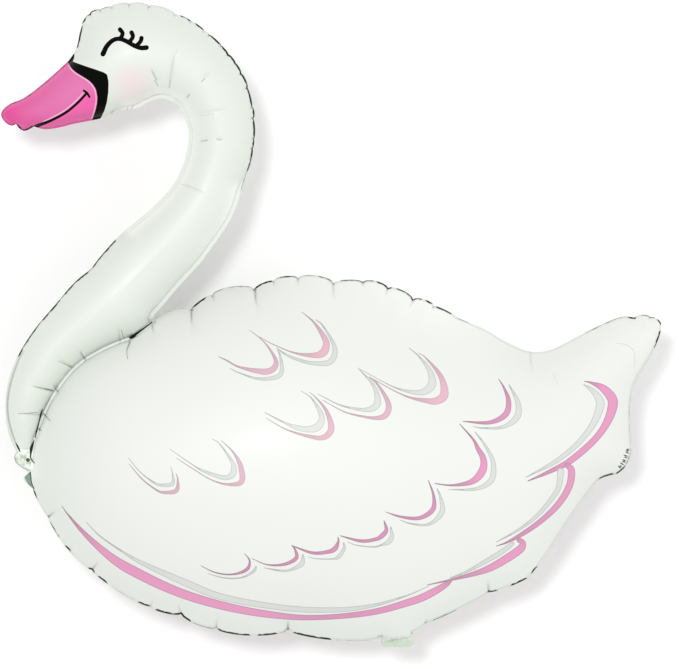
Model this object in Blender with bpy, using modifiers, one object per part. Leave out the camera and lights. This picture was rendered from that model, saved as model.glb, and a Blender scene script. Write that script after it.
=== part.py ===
"""A swan-shaped foil balloon, inflated and lying on its side.

Two films of one outline are welded along a narrow seam and blown up. The neck is laid over the breast and welded
to it along a curved line, so it swells as a tube of its own. The seam plane is level, half a body's thickness up,
and the balloon rests on the widest part of its lower side. The beak points to -X and the head to +Y.

Outlines are drawn on a grid on which x runs to the right and y runs down. The drawn length becomes LENGTH.
"""

import math

import bmesh
import bpy
import numpy as np
from mathutils import Vector
from mathutils.geometry import delaunay_2d_cdt

# Sizes in metres
LENGTH = 0.86  # beak tip to tail tip
RISE_LENGTH = 0.16  # how far the films can rise: a wider body is flatter than a round tube
SEAM_WIDTH = 0.0055  # flat weld outside the air chamber
SEAM_THICKNESS = 0.0018  # both films at the weld
NECK_WELD_WIDTH = 0.004  # weld between the neck and the breast
FLAT_SPOT_DEPTH = 0.005  # how much of the lower side is pressed flat
HANGING_HOLE_DIAMETER = 0.0044  # punched through the hanging tab
FILL_TAB_WIDTH = 0.042  # inflation tab under the belly
FILL_TAB_REACH = 0.0165  # how far it stands out
FILL_TAB_CORNER = 0.005  # radius of its outer corners
CREASE_WIDTH = 0.007  # half width of a pucker's furrow
CREASE_SHARE = 0.22  # share of the height that a furrow takes away at the seam

# Sizes of the faces
EDGE_STEP = 0.0095  # along the outline
RING_STEPS = (0.006, 0.014)  # further rings inside the weld
NECK_STEP = 0.0168  # in the neck, the tail and along the body's edge
NECK_REACH = 0.06  # no point of the neck is further than this from the outline
INNER_STEP = 0.0215  # in the middle of the body
GAP_SHARE = 0.62  # points closer than this share of their step are left out
WELD_ROOM = 0.95  # share of its distance that the first row inside the weld keeps from every seam
RING_ROOM = 0.9  # the same for the further rings

# The outline on the drawing grid, run by run, from the forehead down the front and round to the forehead
FOREHEAD = ((82, 25), (79.3, 35), (77.6, 44), (75, 51.5), (71, 57.5), (68, 61.5))
UPPER_BEAK = ((68, 61.5), (44, 83), (23.5, 98.3), (10, 104), (2.5, 110.5), (1.3, 115.5), (5, 122), (11.5, 125.7),
              (16, 124))
LOWER_BEAK = ((16, 124), (19.5, 128.5), (25, 130.8), (34, 126.5))
JAW = ((34, 126.5), (44, 129.2), (58.5, 127.7), (73, 124), (92, 120.3), (105, 117.5))
INNER_NECK = ((105, 117.5), (117, 111), (136, 108.5), (147, 103), (162, 98), (178, 106), (187, 125), (188.5, 138),
              (184.5, 160), (172, 186), (150, 209.5), (122, 233), (100, 257), (91, 269))
LOWER_NECK = ((91, 269), (75, 282), (55, 305), (35, 330), (20, 355), (10, 380), (7, 410), (12, 434), (19, 450))
HANGING_TAB = ((19, 450), (14.5, 455), (15, 461), (19, 465.5), (28, 471), (31, 471.5))
BREAST_FOLD = ((31, 471.5), (24, 476.5), (25, 481.5), (33, 489))
LOWER_RIGHT = ((530, 576), (546, 555), (566, 524), (590, 490), (602, 478.5), (615, 475), (626, 466.5), (631.5, 452))
TAIL_BACK = ((631.5, 452), (630, 425), (630, 405), (634, 385), (645, 365), (654, 349), (660, 334), (661, 323),
             (656.5, 318))
TAIL_TOP = ((635, 317.5), (624, 316.5), (612, 320), (583, 333.5), (550, 350), (530, 351.5), (507, 342.5), (486, 330),
            (464, 320.5), (456, 317))
NECK_BACK = ((152, 322), (154, 315), (168, 292), (187, 269), (205, 250), (221, 230), (233, 205), (240, 188),
             (247, 172), (252, 156), (254, 141))

# Puckered runs: each notch with the height of the scallop that follows it
BELLY_NOTCHES = ((33, 489, 1.5), (48, 517, 2), (69, 550, 2), (92, 570, 4), (150, 606.5, 3), (181, 614, 4),
                 (216, 628, 7), (288, 629.5, 7), (381, 637, 0))
HIP_NOTCHES = ((413, 631.5, 1), (426, 623, 2), (489, 592, 2.5), (530, 576, 0))
TAIL_NOTCHES = ((656.5, 318, 0.3), (650, 317, 2.6), (635, 317.5, 0))
BACK_NOTCHES = ((456, 317, 1.6), (434, 306, 3.6), (413, 299.5, 4), (388, 288, 4), (363, 282, 2.8), (333.5, 283, 5),
                (298, 278, 3.4), (273, 281, 2.4), (254.5, 289, 5.5), (212, 295, 2.2), (191.5, 309, 5), (152, 322, 0))
HEAD_NOTCHES = ((254, 141, 1.5), (252.5, 109, 3), (248, 88, 2.5), (232, 58, 2.5), (206, 32, 1.2), (191, 21, 1.2),
                (175, 14, 3), (149, 6, 2.4), (129, 4, 2.3), (111, 6.5, 1), (100, 10, 2), (89.5, 14, 1.5),
                (82, 25, 0))

# Welds inside the outline
NECK_WELD = ((152, 322), (140, 331.5), (131, 337.5), (120, 341.5), (100, 350.5), (80, 363), (65, 378.5), (52, 398),
             (44, 414), (37.5, 431), (32.8, 446), (31.2, 460), (31, 471.5))
NECK_FOOT_WELD = ((19, 450), (25, 451.5), (31.8, 451))
HANGING_HOLE = (28, 460)  # centre, nudged off the weld

# Long furrows, from the seam inwards, where the film is drawn together most
DEEP_CREASES = (((333.5, 283), (333, 300)), ((254.5, 289), (257, 306)), ((191.5, 309), (192, 326)),
                ((131, 337), (128, 362)), ((51, 392), (32, 386)), ((42, 415), (16, 413)), ((72, 367), (58, 358)),
                ((120, 340.5), (118, 326)), ((57, 387), (60, 398)), ((48, 517), (57, 511)), ((92, 570), (99, 560)),
                ((181, 614), (178, 602)), ((288, 629.5), (288, 619)), ((489, 592), (487, 580)),
                ((530, 352), (532, 372)), ((232, 58), (222, 64)), ((248, 88), (236, 90)))


def smooth_run(points, steps=8):
    """A curve through every point, with even speed so that near points don't make loops."""
    ends = [np.array(p, float) for p in points]
    ends = [2 * ends[0] - ends[1]] + ends + [2 * ends[-1] - ends[-2]]
    made = []
    for a, b, c, d in zip(ends, ends[1:], ends[2:], ends[3:]):
        span = np.linalg.norm(c - b)
        before, after = np.linalg.norm(b - a), np.linalg.norm(d - c)
        leave = ((c - a) / (before + span)) * span
        arrive = ((d - b) / (span + after)) * span
        for step in range(steps):
            t = step / steps
            made.append((2 * t**3 - 3 * t**2 + 1) * b + (t**3 - 2 * t**2 + t) * leave
                        + (3 * t**2 - 2 * t**3) * c + (t**3 - t**2) * arrive)
    return made + [ends[-2]]


def scalloped_run(notches, steps=10):
    """Arcs from notch to notch, each bowed outwards by its own height."""
    made = []
    for (x0, y0, height), (x1, y1, _) in zip(notches, notches[1:]):
        start, end = np.array((x0, y0), float), np.array((x1, y1), float)
        along = end - start
        out = np.array((-along[1], along[0])) / np.linalg.norm(along)
        for step in range(steps):
            t = step / steps
            made.append(start + along * t + out * height * math.sqrt(math.sin(math.pi * t)))
    return made + [np.array(notches[-1][:2], float)]


def fill_tab(unit):
    """The inflation tab's free edge, straight down from the belly with round corners."""
    left, right = np.array(BELLY_NOTCHES[-1][:2]), np.array(HIP_NOTCHES[0][:2])
    middle = (left + right) / 2
    half, reach, radius = FILL_TAB_WIDTH / 2 / unit, FILL_TAB_REACH / unit, FILL_TAB_CORNER / unit
    made = [left]
    for side, first in ((-1, 0), (1, 90)):
        corner = middle + (side * (half - radius), reach - radius)
        for turn in range(0, 91, 30):
            angle = math.radians(first + turn)
            made.append(corner + (-math.cos(angle) * radius, math.sin(angle) * radius))
    return made + [right]


def joined(runs):
    """The runs as one closed loop, each point once."""
    loop = []
    for run in runs:
        for point in run:
            if not loop or np.linalg.norm(point - loop[-1]) > 0.05:
                loop.append(point)
    if np.linalg.norm(loop[0] - loop[-1]) < 0.05:
        loop.pop()
    return np.array(loop)


def drawing_unit():
    """Metres in one step of the drawing grid."""
    return LENGTH / (max(x for x, _ in TAIL_BACK) - min(x for x, _ in UPPER_BEAK))


def drawn_outline(unit):
    """The whole outline on the drawing grid."""
    return joined((
        smooth_run(FOREHEAD), smooth_run(UPPER_BEAK), smooth_run(LOWER_BEAK), smooth_run(JAW), smooth_run(INNER_NECK),
        smooth_run(LOWER_NECK), smooth_run(HANGING_TAB), smooth_run(BREAST_FOLD), scalloped_run(BELLY_NOTCHES),
        fill_tab(unit), scalloped_run(HIP_NOTCHES),
        smooth_run(LOWER_RIGHT), smooth_run(TAIL_BACK), scalloped_run(TAIL_NOTCHES), smooth_run(TAIL_TOP),
        scalloped_run(BACK_NOTCHES), smooth_run(NECK_BACK), scalloped_run(HEAD_NOTCHES)))


def evenly(points, step, closed=False):
    """Points about a step apart along a line, keeping its sharp turns."""
    points = np.asarray(points)
    if closed:
        points = np.vstack((points, points[:1]))
    ahead = np.diff(points, axis=0)
    heading = np.arctan2(ahead[:, 1], ahead[:, 0])
    turn = np.abs((np.diff(heading) + math.pi) % (2 * math.pi) - math.pi)
    corners = [0] + [i + 1 for i in range(len(turn)) if turn[i] > math.radians(38)] + [len(points) - 1]
    made = []
    for first, last in zip(corners, corners[1:]):
        stretch = points[first:last + 1]
        walked = np.concatenate(((0,), np.cumsum(np.linalg.norm(np.diff(stretch, axis=0), axis=1))))
        count = max(1, round(walked[-1] / step))
        for at in np.linspace(0, walked[-1], count + 1)[:-1]:
            made.append((np.interp(at, walked, stretch[:, 0]), np.interp(at, walked, stretch[:, 1])))
    if not closed:
        made.append(tuple(points[-1]))
    return np.array(made)


def distance_to(points, line, closed=False):
    """How far each point is from a line of straight pieces."""
    ends = np.roll(line, -1, axis=0) if closed else line[1:]
    starts = line if closed else line[:-1]
    along = ends - starts
    square = np.maximum((along**2).sum(axis=1), 1e-18)
    nearest = np.full(len(points), np.inf)
    for start, way, size in zip(starts, along, square):
        share = np.clip(((points - start) @ way) / size, 0, 1)
        nearest = np.minimum(nearest, np.linalg.norm(points - start - share[:, None] * way, axis=1))
    return nearest


def is_inside(points, loop):
    """Which points a closed loop holds."""
    held = np.zeros(len(points), bool)
    for (x0, y0), (x1, y1) in zip(loop, np.roll(loop, -1, axis=0)):
        if y0 == y1:
            continue
        crosses = (points[:, 1] > y0) != (points[:, 1] > y1)
        held ^= crosses & (points[:, 0] < x0 + (points[:, 1] - y0) * (x1 - x0) / (y1 - y0))
    return held


def beside(line, away, closed=False):
    """A copy of a line moved to its left."""
    if closed:
        ahead = np.roll(line, -1, axis=0) - np.roll(line, 1, axis=0)
    else:
        ahead = np.gradient(line, axis=0)
    left = np.stack((-ahead[:, 1], ahead[:, 0]), axis=1)
    return line + left / np.linalg.norm(left, axis=1)[:, None] * away


class Plan:
    """The films seen from above in metres: outline, welds and tabs, with the body on the outline's left."""

    def __init__(self):
        unit = drawing_unit()
        drawn = drawn_outline(unit)
        self.middle = (drawn.max(axis=0) + drawn.min(axis=0)) / 2
        self.unit = unit
        self.outline = evenly(self.placed(drawn), EDGE_STEP, closed=True)
        self.neck_weld = evenly(self.placed(smooth_run(NECK_WELD)), EDGE_STEP)
        self.foot_weld = evenly(self.placed(smooth_run(NECK_FOOT_WELD)), EDGE_STEP)
        hanging = list(smooth_run(HANGING_TAB)) + [np.array(NECK_FOOT_WELD[-1]), np.array(NECK_FOOT_WELD[1])]
        self.tabs = [self.placed(hanging), self.placed(fill_tab(unit))]
        self.creases = [self.placed(ends) for ends in DEEP_CREASES]
        self.hole = self.placed([HANGING_HOLE])[0]

    def placed(self, drawn):
        return (np.array(drawn, float) - self.middle) * (self.unit, -self.unit)

    def is_flat(self, points):
        """Where the two films lie welded together."""
        slack = 1.03
        flat = distance_to(points, self.outline, closed=True) <= SEAM_WIDTH * slack
        for weld in (self.neck_weld, self.foot_weld):
            flat |= distance_to(points, weld) <= NECK_WELD_WIDTH / 2 * slack
        for tab in self.tabs:
            flat |= is_inside(points, tab)
        return flat

    def furrow(self, points):
        """The share of the height that the long creases take away at each point."""
        taken = np.zeros(len(points))
        for start, end in self.creases:
            way = end - start
            reach = np.linalg.norm(way)
            way = way / reach
            along = (points - start) @ way
            aside = (points - start) @ np.array((-way[1], way[0]))
            fade = np.clip(1 - np.clip(along, 0, None) / (1.6 * reach), 0, 1) ** 2
            near = np.exp(-(aside / CREASE_WIDTH) ** 2 - (np.clip(-along, 0, None) / CREASE_WIDTH) ** 2)
            taken = np.maximum(taken, CREASE_SHARE * near * fade)
        return taken


def triangular_grid(low, high, step):
    """Points in rows over a rectangle, every other row half a step along."""
    rise = step * math.sqrt(3) / 2
    rows, columns = int((high[1] - low[1]) / rise) + 1, int((high[0] - low[0]) / step) + 1
    return np.array([(low[0] + (column + row % 2 / 2) * step, low[1] + row * rise)
                     for row in range(rows) for column in range(columns)])


def with_room(kept, points, least):
    """The points kept so far and those of the new ones that come no nearer than this to any of them."""
    for point in points:
        if np.min(np.linalg.norm(kept - point, axis=1)) > least:
            kept = np.vstack((kept, point))
    return kept


def net_points(plan):
    """The corners of the faces: the outline first, then the welds, creases, rings beside them and an even net."""
    outline, welds = plan.outline, (plan.neck_weld, plan.foot_weld)
    least = GAP_SHARE * EDGE_STEP

    def inner(points, clear):
        points = points[is_inside(points, outline)]
        return points[distance_to(points, outline, closed=True) >= clear]

    kept = outline
    for weld in welds:
        kept = with_room(kept, inner(weld, SEAM_WIDTH / 2), least / 2)
    for weld in welds:
        for side in (-1, 1):
            kept = with_room(kept, inner(beside(weld, side * NECK_WELD_WIDTH / 2), SEAM_WIDTH / 2), least / 4)
    kept = with_room(kept, inner(beside(outline, SEAM_WIDTH, closed=True), SEAM_WIDTH * WELD_ROOM), least / 2)
    for start, end in plan.creases:
        count = max(2, round(np.linalg.norm(end - start) / EDGE_STEP) + 1)
        line = start + (end - start) * np.linspace(0, 1, count + 1)[1:, None]
        for side in (0, -1, 1):
            kept = with_room(kept, inner(beside(line, side * CREASE_WIDTH), SEAM_WIDTH), least / 2)
    away = SEAM_WIDTH
    for extra in RING_STEPS:
        away += extra
        kept = with_room(kept, inner(beside(outline, away, closed=True), away * RING_ROOM), least)
    for weld in welds:
        for side in (-1, 1):
            kept = with_room(kept, inner(beside(weld, side * (NECK_WELD_WIDTH + RING_STEPS[0])), away / 2), least)
    low, high = outline.min(axis=0), outline.max(axis=0)
    near = inner(triangular_grid(low, high, NECK_STEP), away)
    near = near[distance_to(near, outline, closed=True) < NECK_REACH]
    kept = with_room(kept, near, GAP_SHARE * NECK_STEP)
    return with_room(kept, inner(triangular_grid(low, high, INNER_STEP), NECK_REACH), GAP_SHARE * INNER_STEP)


def net_of(plan):
    """Triangles over the outline's inside, as points, faces and which points lie on the outline."""
    points = net_points(plan)
    rim = list(range(len(plan.outline)))
    made = delaunay_2d_cdt([Vector(p) for p in points], [], [rim], 1, 1e-7)
    corners = np.array([tuple(v) for v in made[0]])
    faces = np.array([f for f in made[2] if len(f) == 3])
    on_rim = [any(i < len(rim) for i in sources) for sources in made[3]]
    return corners, faces, np.array(on_rim)


def risen_height(plan, corners, faces):
    """How high the upper film stands over the seam plane: the root of a stretched skin's rise, which is round over
    a narrow tube and flatter over the wide body."""
    count = len(corners)
    a, b, c = (corners[faces[:, i]] for i in range(3))
    doubled = np.abs((b - a)[:, 0] * (c - a)[:, 1] - (b - a)[:, 1] * (c - a)[:, 0])
    stiff = np.zeros((count, count))
    share = np.zeros(count)
    sides = (c - b, a - c, b - a)
    for i in range(3):
        np.add.at(share, faces[:, i], doubled / 6)
        for j in range(3):
            np.add.at(stiff, (faces[:, i], faces[:, j]), (sides[i] * sides[j]).sum(axis=1) / (2 * doubled))
    stiff[np.arange(count), np.arange(count)] += share / RISE_LENGTH**2
    free = ~plan.is_flat(corners)
    rise = np.zeros(count)
    rise[free] = np.linalg.solve(stiff[np.ix_(free, free)], share[free])
    return np.sqrt(2 * np.clip(rise, 0, None)) * (1 - plan.furrow(corners))


def upper_half(plan):
    """The upper film with half the seam's thickness as its edge, open at the seam plane."""
    corners, faces, on_rim = net_of(plan)
    heights = risen_height(plan, corners, faces) + SEAM_THICKNESS / 2
    mesh = bmesh.new()
    top = [mesh.verts.new((x, y, z)) for (x, y), z in zip(corners, heights)]
    for face in faces:
        mesh.faces.new([top[i] for i in face])
    edges = [edge for edge in mesh.edges if edge.is_boundary]
    skirt = bmesh.ops.extrude_edge_only(mesh, edges=edges)
    for vertex in skirt["geom"]:
        if isinstance(vertex, bmesh.types.BMVert):
            vertex.co.z = 0
    bmesh.ops.recalc_face_normals(mesh, faces=mesh.faces)
    if sum(face.normal.z for face in mesh.faces) < 0:
        bmesh.ops.reverse_faces(mesh, faces=mesh.faces)
    made = bpy.data.meshes.new("foil_envelope")
    mesh.to_mesh(made)
    mesh.free()
    made.shade_smooth()
    return made, heights.max()


def cutter(name, collection, mesh_maker, location):
    """A hidden solid that is cut away from the balloon."""
    mesh = bpy.data.meshes.new(name)
    shape = bmesh.new()
    mesh_maker(shape)
    shape.to_mesh(mesh)
    shape.free()
    made = bpy.data.objects.new(name, mesh)
    made.location = location
    made.hide_render = True
    made.display_type = "WIRE"
    collection.objects.link(made)
    return made


def cut(target, tool):
    modifier = target.modifiers.new(tool.name, "BOOLEAN")
    modifier.operation = "DIFFERENCE"
    modifier.solver = "EXACT"
    modifier.object = tool


def pearl_film():
    """Pearl white film, colours printed on it aside."""
    material = bpy.data.materials.new("pearl_film")
    material.use_nodes = True
    shader = material.node_tree.nodes["Principled BSDF"]
    shader.inputs["Base Color"].default_value = (0.86, 0.9, 0.86, 1)
    shader.inputs["Roughness"].default_value = 0.3
    shader.inputs["Metallic"].default_value = 0.1
    return material


def new_collection(name):
    made = bpy.data.collections.new(name)
    bpy.context.scene.collection.children.link(made)
    return made


def main():
    for old in list(bpy.data.objects):
        bpy.data.objects.remove(old, do_unlink=True)
    parts, cutters = new_collection("swan_foil_balloon"), new_collection("cutters")
    plan = Plan()
    mesh, height = upper_half(plan)
    mesh.materials.append(pearl_film())
    balloon = bpy.data.objects.new("foil_envelope", mesh)
    seam_level = height - FLAT_SPOT_DEPTH
    balloon.location.z = seam_level
    parts.objects.link(balloon)
    halves = balloon.modifiers.new("two films", "MIRROR")
    halves.use_axis = (False, False, True)
    halves.merge_threshold = 0.00001
    floor_size = 2 * LENGTH
    cut(balloon, cutter("flat_spot_cutter", cutters,
                        lambda shape: bmesh.ops.create_cube(shape, size=floor_size), (0, 0, -floor_size / 2)))
    cut(balloon, cutter("hanging_hole_cutter", cutters,
                        lambda shape: bmesh.ops.create_cone(shape, cap_ends=True, segments=12,
                                                            radius1=HANGING_HOLE_DIAMETER / 2,
                                                            radius2=HANGING_HOLE_DIAMETER / 2,
                                                            depth=8 * SEAM_THICKNESS),
                        (*plan.hole, seam_level)))


main()
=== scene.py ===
"""The look of a swan-shaped foil balloon, blown up, lying on its side and seen from above.

Two printed films share one outline and are welded along it, at the tabs and where the neck lies on the
breast. Their rise is worked out over a fine net of triangles whose edges also follow the print. The outline,
the welds, the creases and the print are drawn on a grid on which x runs to the right and y runs down. The
solid in the frame gives the grid's scale and the height of the seam.
"""

import math
from itertools import cycle

import bpy
import numpy as np
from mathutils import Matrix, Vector
from mathutils.bvhtree import BVHTree
from mathutils.geometry import delaunay_2d_cdt
from mathutils.kdtree import KDTree


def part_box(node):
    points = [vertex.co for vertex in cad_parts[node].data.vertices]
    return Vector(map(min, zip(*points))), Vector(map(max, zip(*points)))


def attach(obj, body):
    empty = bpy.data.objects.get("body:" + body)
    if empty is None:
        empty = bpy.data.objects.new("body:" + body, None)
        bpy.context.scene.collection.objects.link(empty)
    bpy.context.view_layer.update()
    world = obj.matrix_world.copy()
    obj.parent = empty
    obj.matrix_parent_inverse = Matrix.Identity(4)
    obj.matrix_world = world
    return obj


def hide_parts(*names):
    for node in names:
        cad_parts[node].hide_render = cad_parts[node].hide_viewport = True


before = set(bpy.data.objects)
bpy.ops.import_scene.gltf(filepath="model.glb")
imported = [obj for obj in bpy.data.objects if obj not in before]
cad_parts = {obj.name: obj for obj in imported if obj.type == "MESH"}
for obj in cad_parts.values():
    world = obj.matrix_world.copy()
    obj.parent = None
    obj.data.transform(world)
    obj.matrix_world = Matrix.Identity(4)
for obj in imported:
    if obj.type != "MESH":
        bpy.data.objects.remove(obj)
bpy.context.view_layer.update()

NODE = "foil_envelope"

# Sizes in metres, and shares of the height
RISE_LENGTH = 0.16  # how far the films can rise: a wider body is flatter than a round tube
FLAT_SPOT_DEPTH = 0.005  # how much of the lower side is pressed flat
GATHERED_SEAM_WIDTH = 0.0026  # flat weld outside the air chamber where the edge is puckered and curls under
NECK_WELD_WIDTH = 0.004
EDGE_THICKNESS = 0.0006  # both films at the weld
EDGE_LINE = 0.0012  # distance of the net's first ring from the rim
# The dark line at the rim is painted shade and dark reflection
RIM_LINE_WIDTH = 0.0025  # the dark line at the rim where it is widest
HANGING_HOLE_DIAMETER = 0.0044
FILL_TAB_WIDTH = 0.042
FILL_TAB_REACH = 0.0165
FILL_TAB_CORNER = 0.005
FLAT_SEAM_FADE = 0.02  # along the seam, from gathered to flat
FURROW_WIDTH, FURROW_SPREAD = 0.0016, 0.16  # half a crease's width at the seam, and its gain on the way in
# A crease's dark middle and its darkness are painted shade
FURROW_CORE, FURROW_TAIL = 0.0011, 0.003  # its dark middle's half width, and how softly it starts
PUCKER_SHARE = 0.16  # share of the height that the crease at a deep notch takes away
DARK_SHARE = 0.3  # the same share where a crease is fully dark
FOLD_WIDTH = 0.0018
RIM_FADE, WELD_FADE = 0.004, 0.006  # the soft ends of the dark lines at the rim and along the neck's weld
HOLE_SHADE = 0.0002  # the dark ring round the punched hole
# The film's change of colour near the welds is painted shade
EDGE_SHADE_REACH = 0.03  # how far in from the welds the film's colour changes
# Painted light: the paler film beside the welds offsets the shade at their foot
SEAM_FOOT_LIGHT_REACH, WELD_FOOT_LIGHT_REACH = 0.007, 0.005  # the paler film beside a flat seam and the neck's weld
FLOOR_SIZE = 6.0

# Steps of the net and distances in it in metres
EDGE_STEP = 0.0022
RINGS = (0.0004, 0.0012, 0.0026, 0.0046, 0.007)  # away from the welds
HOLE_RINGS = (0.0028, 0.0036)  # round the middle of the hanging hole
UPPER_STEP = 0.0033
LOWER_STEP = 0.0048
PRINT_STEP = 0.0022
CREASE_STEP = 0.002
HOLE_RING_ROOM, RING_ROOM, PRINT_ROOM, CREASE_ROOM = 0.0005, 0.0004, 0.0007, 0.0009  # least distances
PRINT_TO_RIM = 0.0004  # print that comes nearer to the rim gets no edges of its own
CREASE_TO_SEAM = 0.0004
BESIDE_CREASE = (0, -0.0012, 0.0012, -0.0028, 0.0028)  # rows of points along a crease
ACROSS_WELD = (0, -1, 1, -0.4, 0.4)  # rows of points along a weld, as shares of half its width
HAIR = 0.00005  # a distance too small to matter
EDGE_TINT_WIDTH = 0.0014  # how far the darker edge of a printed stroke reaches in
NARROW_STROKE, BROAD_STROKE = 0.004, 0.0105  # widths at which a stroke is palest and fullest in colour
LEAST_STRENGTH, LEAST_SILVER_STRENGTH = 0.55, 0.82  # share of the full colour in a narrow stroke
RAIL_LEAST = 1.6  # where half a stroke is this many tints wide, the tint's inner end gets points of its own

# The photograph and its camera
PHOTO_WIDTH, PHOTO_HEIGHT = 679, 669
CAMERA_HEIGHT = 30.0  # metres above the seam
SENSOR = 36.0

# What the mesh carries at each of its points: numbers for its shape, and numbers for its finish
SHAPE_NUMBERS = ("rise", "furrow", "fold", "curl", "side")
FINISH_NUMBERS = ("gap", "way", "seam_gap", "weld_gap", "crease", "rim", "tab", "valve", "neck", "flat_edge")

# On the drawing grid: points nearer to each other than this are one, and a notch nearer than this to the
# start of a drawn crease has none of its own
SAME_POINT, SAME_CREASE = 0.05, 4

# The outline on the drawing grid, run by run, from the forehead down the front and round to the forehead
FOREHEAD = ((82, 25), (79.3, 35), (77.6, 44), (75, 51.5), (71, 57.5), (68, 61.5))
UPPER_BEAK = ((68, 61.5), (44, 83), (23.5, 98.3), (10, 104), (2.5, 110.5), (1.3, 115.5), (5, 122),
              (11.5, 125.7), (16, 124))
LOWER_BEAK = ((16, 124), (19.5, 128.5), (25, 130.8), (34, 126.5))
JAW = ((34, 126.5), (44, 129.2), (58.5, 127.7), (73, 124), (92, 120.3), (105, 117.5))
INNER_NECK = ((105, 117.5), (117, 111), (136, 108.5), (147, 103), (162, 98), (178, 106), (187, 125),
              (188.5, 138), (184.5, 160), (172, 186), (150, 209.5), (122, 233), (100, 257), (91, 269))
LOWER_NECK = ((91, 269), (75, 282), (55, 305), (34.5, 329.5), (19, 354), (8.8, 380), (5.5, 407), (8, 431),
              (13.5, 446), (17, 451.5))
HANGING_TAB = ((17, 451.5), (14.5, 455), (15, 461), (19, 465.5), (28, 471), (31, 471.5))
BREAST_FOLD = ((31, 471.5), (24, 476.5), (25, 481.5), (33, 489))
LOWER_RIGHT = ((530, 576), (546, 555), (566, 524), (590, 490), (600, 479), (611, 475), (618, 473.3),
               (626, 465.5), (631.5, 452))
TAIL_BACK = ((631.5, 452), (630, 425), (630, 405), (634, 385), (645, 365), (654, 349), (660, 334),
             (661, 323), (656.5, 318))
TAIL_TOP = ((635, 317.5), (624, 316.5), (612, 320), (583, 333.5), (550, 350), (530, 351.5), (507, 342.5),
            (486, 330), (464, 320.5), (456, 317))
NECK_BACK = ((152, 322), (154, 315), (161.5, 307), (173.5, 292.5), (187, 277.5), (201, 262), (212.5, 246.5),
             (222, 233), (230.5, 219.5), (236.3, 206.5), (241, 191), (246.5, 173))

# Puckered runs: each notch with the height of the scallop that follows it
BELLY_NOTCHES = ((33, 489, 1.5), (48, 517, 2), (69, 550, 2), (92, 570, 4), (150, 606.5, 3), (181, 614, 4),
                 (216, 628, 7), (288, 629.5, 7), (381, 637, 0))
HIP_NOTCHES = ((413, 631.5, 1), (426, 623, 2), (489, 592, 2.5), (530, 576, 0))
TAIL_NOTCHES = ((656.5, 318, 0.3), (650, 317, 2.6), (635, 317.5, 0))
BACK_NOTCHES = ((456, 317, 1.6), (434, 306, 3.6), (413, 299.5, 4), (388, 288, 4), (363, 282, 2.8),
                (333.5, 283, 5), (298, 278, 3.4), (273, 281, 2.4), (254.5, 289, 5.5), (212, 295, 2.2),
                (191.5, 309, 5), (152, 322, 0))
HEAD_NOTCHES = ((246.5, 173, 0.8), (251.4, 158, 0.7), (252.6, 148.6, 0.8), (254, 138.6, 1.5),
                (253.2, 118.6, 1.8), (252.2, 107, 1.1), (247.5, 88, 1.6), (241.5, 73.6, 1), (235.7, 63, 1),
                (228.6, 54.3, 0.8), (221.4, 45.7, 1.1), (209.3, 34.7, 0.8), (204.5, 30.8, 1.2),
                (191, 21, 1.2), (175, 14, 3), (149, 6, 2.4), (129, 4, 2.3), (111, 6.5, 1), (100, 10, 2),
                (89.5, 14, 1.5), (82, 25, 0))

NECK_FRONT = (FOREHEAD, UPPER_BEAK, LOWER_BEAK, JAW, INNER_NECK, LOWER_NECK)
BEFORE_FILL_TAB = (*NECK_FRONT, HANGING_TAB, BREAST_FOLD, BELLY_NOTCHES)
AFTER_FILL_TAB = (HIP_NOTCHES, LOWER_RIGHT, TAIL_BACK, TAIL_NOTCHES, TAIL_TOP, BACK_NOTCHES, NECK_BACK,
                  HEAD_NOTCHES)

# Welds inside the outline
NECK_WELD = ((152, 322), (140, 331.5), (131, 337.5), (120, 341.5), (100, 350.5), (80, 363), (65, 378.5),
             (52, 398), (44, 414), (37.5, 431), (32.8, 446), (31.2, 460), (31, 471.5))
NECK_FOOT_WELD = ((19, 450), (25, 451.5), (31.8, 451))
HANGING_HOLE = (28, 460)
HOLE_TAPER = 0.2  # the punched hole's size in the lower film, as a share of that in the upper one
THROAT_DEPTH = 4.5  # how far the air reaches into the inflation tab
GREENER_FROM = 639  # from this line of the drawing down the inflation tab is greener

# Creases that start at a seam: start, end, share of the height taken away there
LONG_CREASES = (((333.5, 283), (333, 300), 0.2), ((254.5, 289), (257, 308), 0.3),
                ((191.5, 309), (192, 328), 0.3), ((131, 337), (126.5, 352), 0.3),
                ((52, 390.8), (32, 386.2), 0.22), ((42, 415), (16, 413), 0.14),
                ((72, 367), (57, 358), 0.16), ((84, 358), (79, 351), 0.16),
                ((120, 340.5), (119, 325), 0.16), ((150, 323), (146, 315), 0.2),
                ((152, 322), (154, 336), 0.25), ((57, 387), (59, 397), 0.2), ((42, 412), (51, 422), 0.2),
                ((35, 437), (38, 441), 0.2), ((48, 517), (57, 510), 0.3), ((92, 570), (100, 560), 0.25),
                ((33, 490), (37, 498), 0.25), ((181, 614), (178, 602), 0.2),
                ((288, 629.5), (288, 618), 0.35), ((426, 623), (426, 617), 0.25),
                ((489, 592), (487, 580), 0.3), ((530, 352), (532, 376), 0.1))

# A run with fine creases side by side, like a comb
COMB_RUN = ((621, 471), (631.3, 449))
COMB_STEP = 0.0036
COMB_REACHES, COMB_SHARE, COMB_DARKNESS = (0.012, 0.009, 0.015, 0.01), 0.3, 0.5  # of its creases
COMB_START, COMB_ENDS, COMB_TICK_WIDTH = 0.0032, (0.0078, 0.0068, 0.0084, 0.0072), 0.0018  # of its ticks

# Small folds away from the seams: start, end, depth in millimetres
FOLDS = (((151, 69), (158, 83), 1.6), ((175, 52), (169, 90), 1.4), ((208, 72), (202, 82), 1.2),
         ((190, 94), (186, 101), 1.4), ((198, 114), (228, 109), 0.7), ((199, 141), (209, 140), 1.2),
         ((215, 140), (224, 139), 1.2), ((181, 184), (203, 193), 0.7), ((125, 112), (133, 106), 1.4),
         ((176, 236), (126, 287), -0.5), ((112, 296), (84, 330), -0.4), ((552, 371), (557, 385), 0.7),
         ((630, 342), (634, 354), -0.8))

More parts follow.
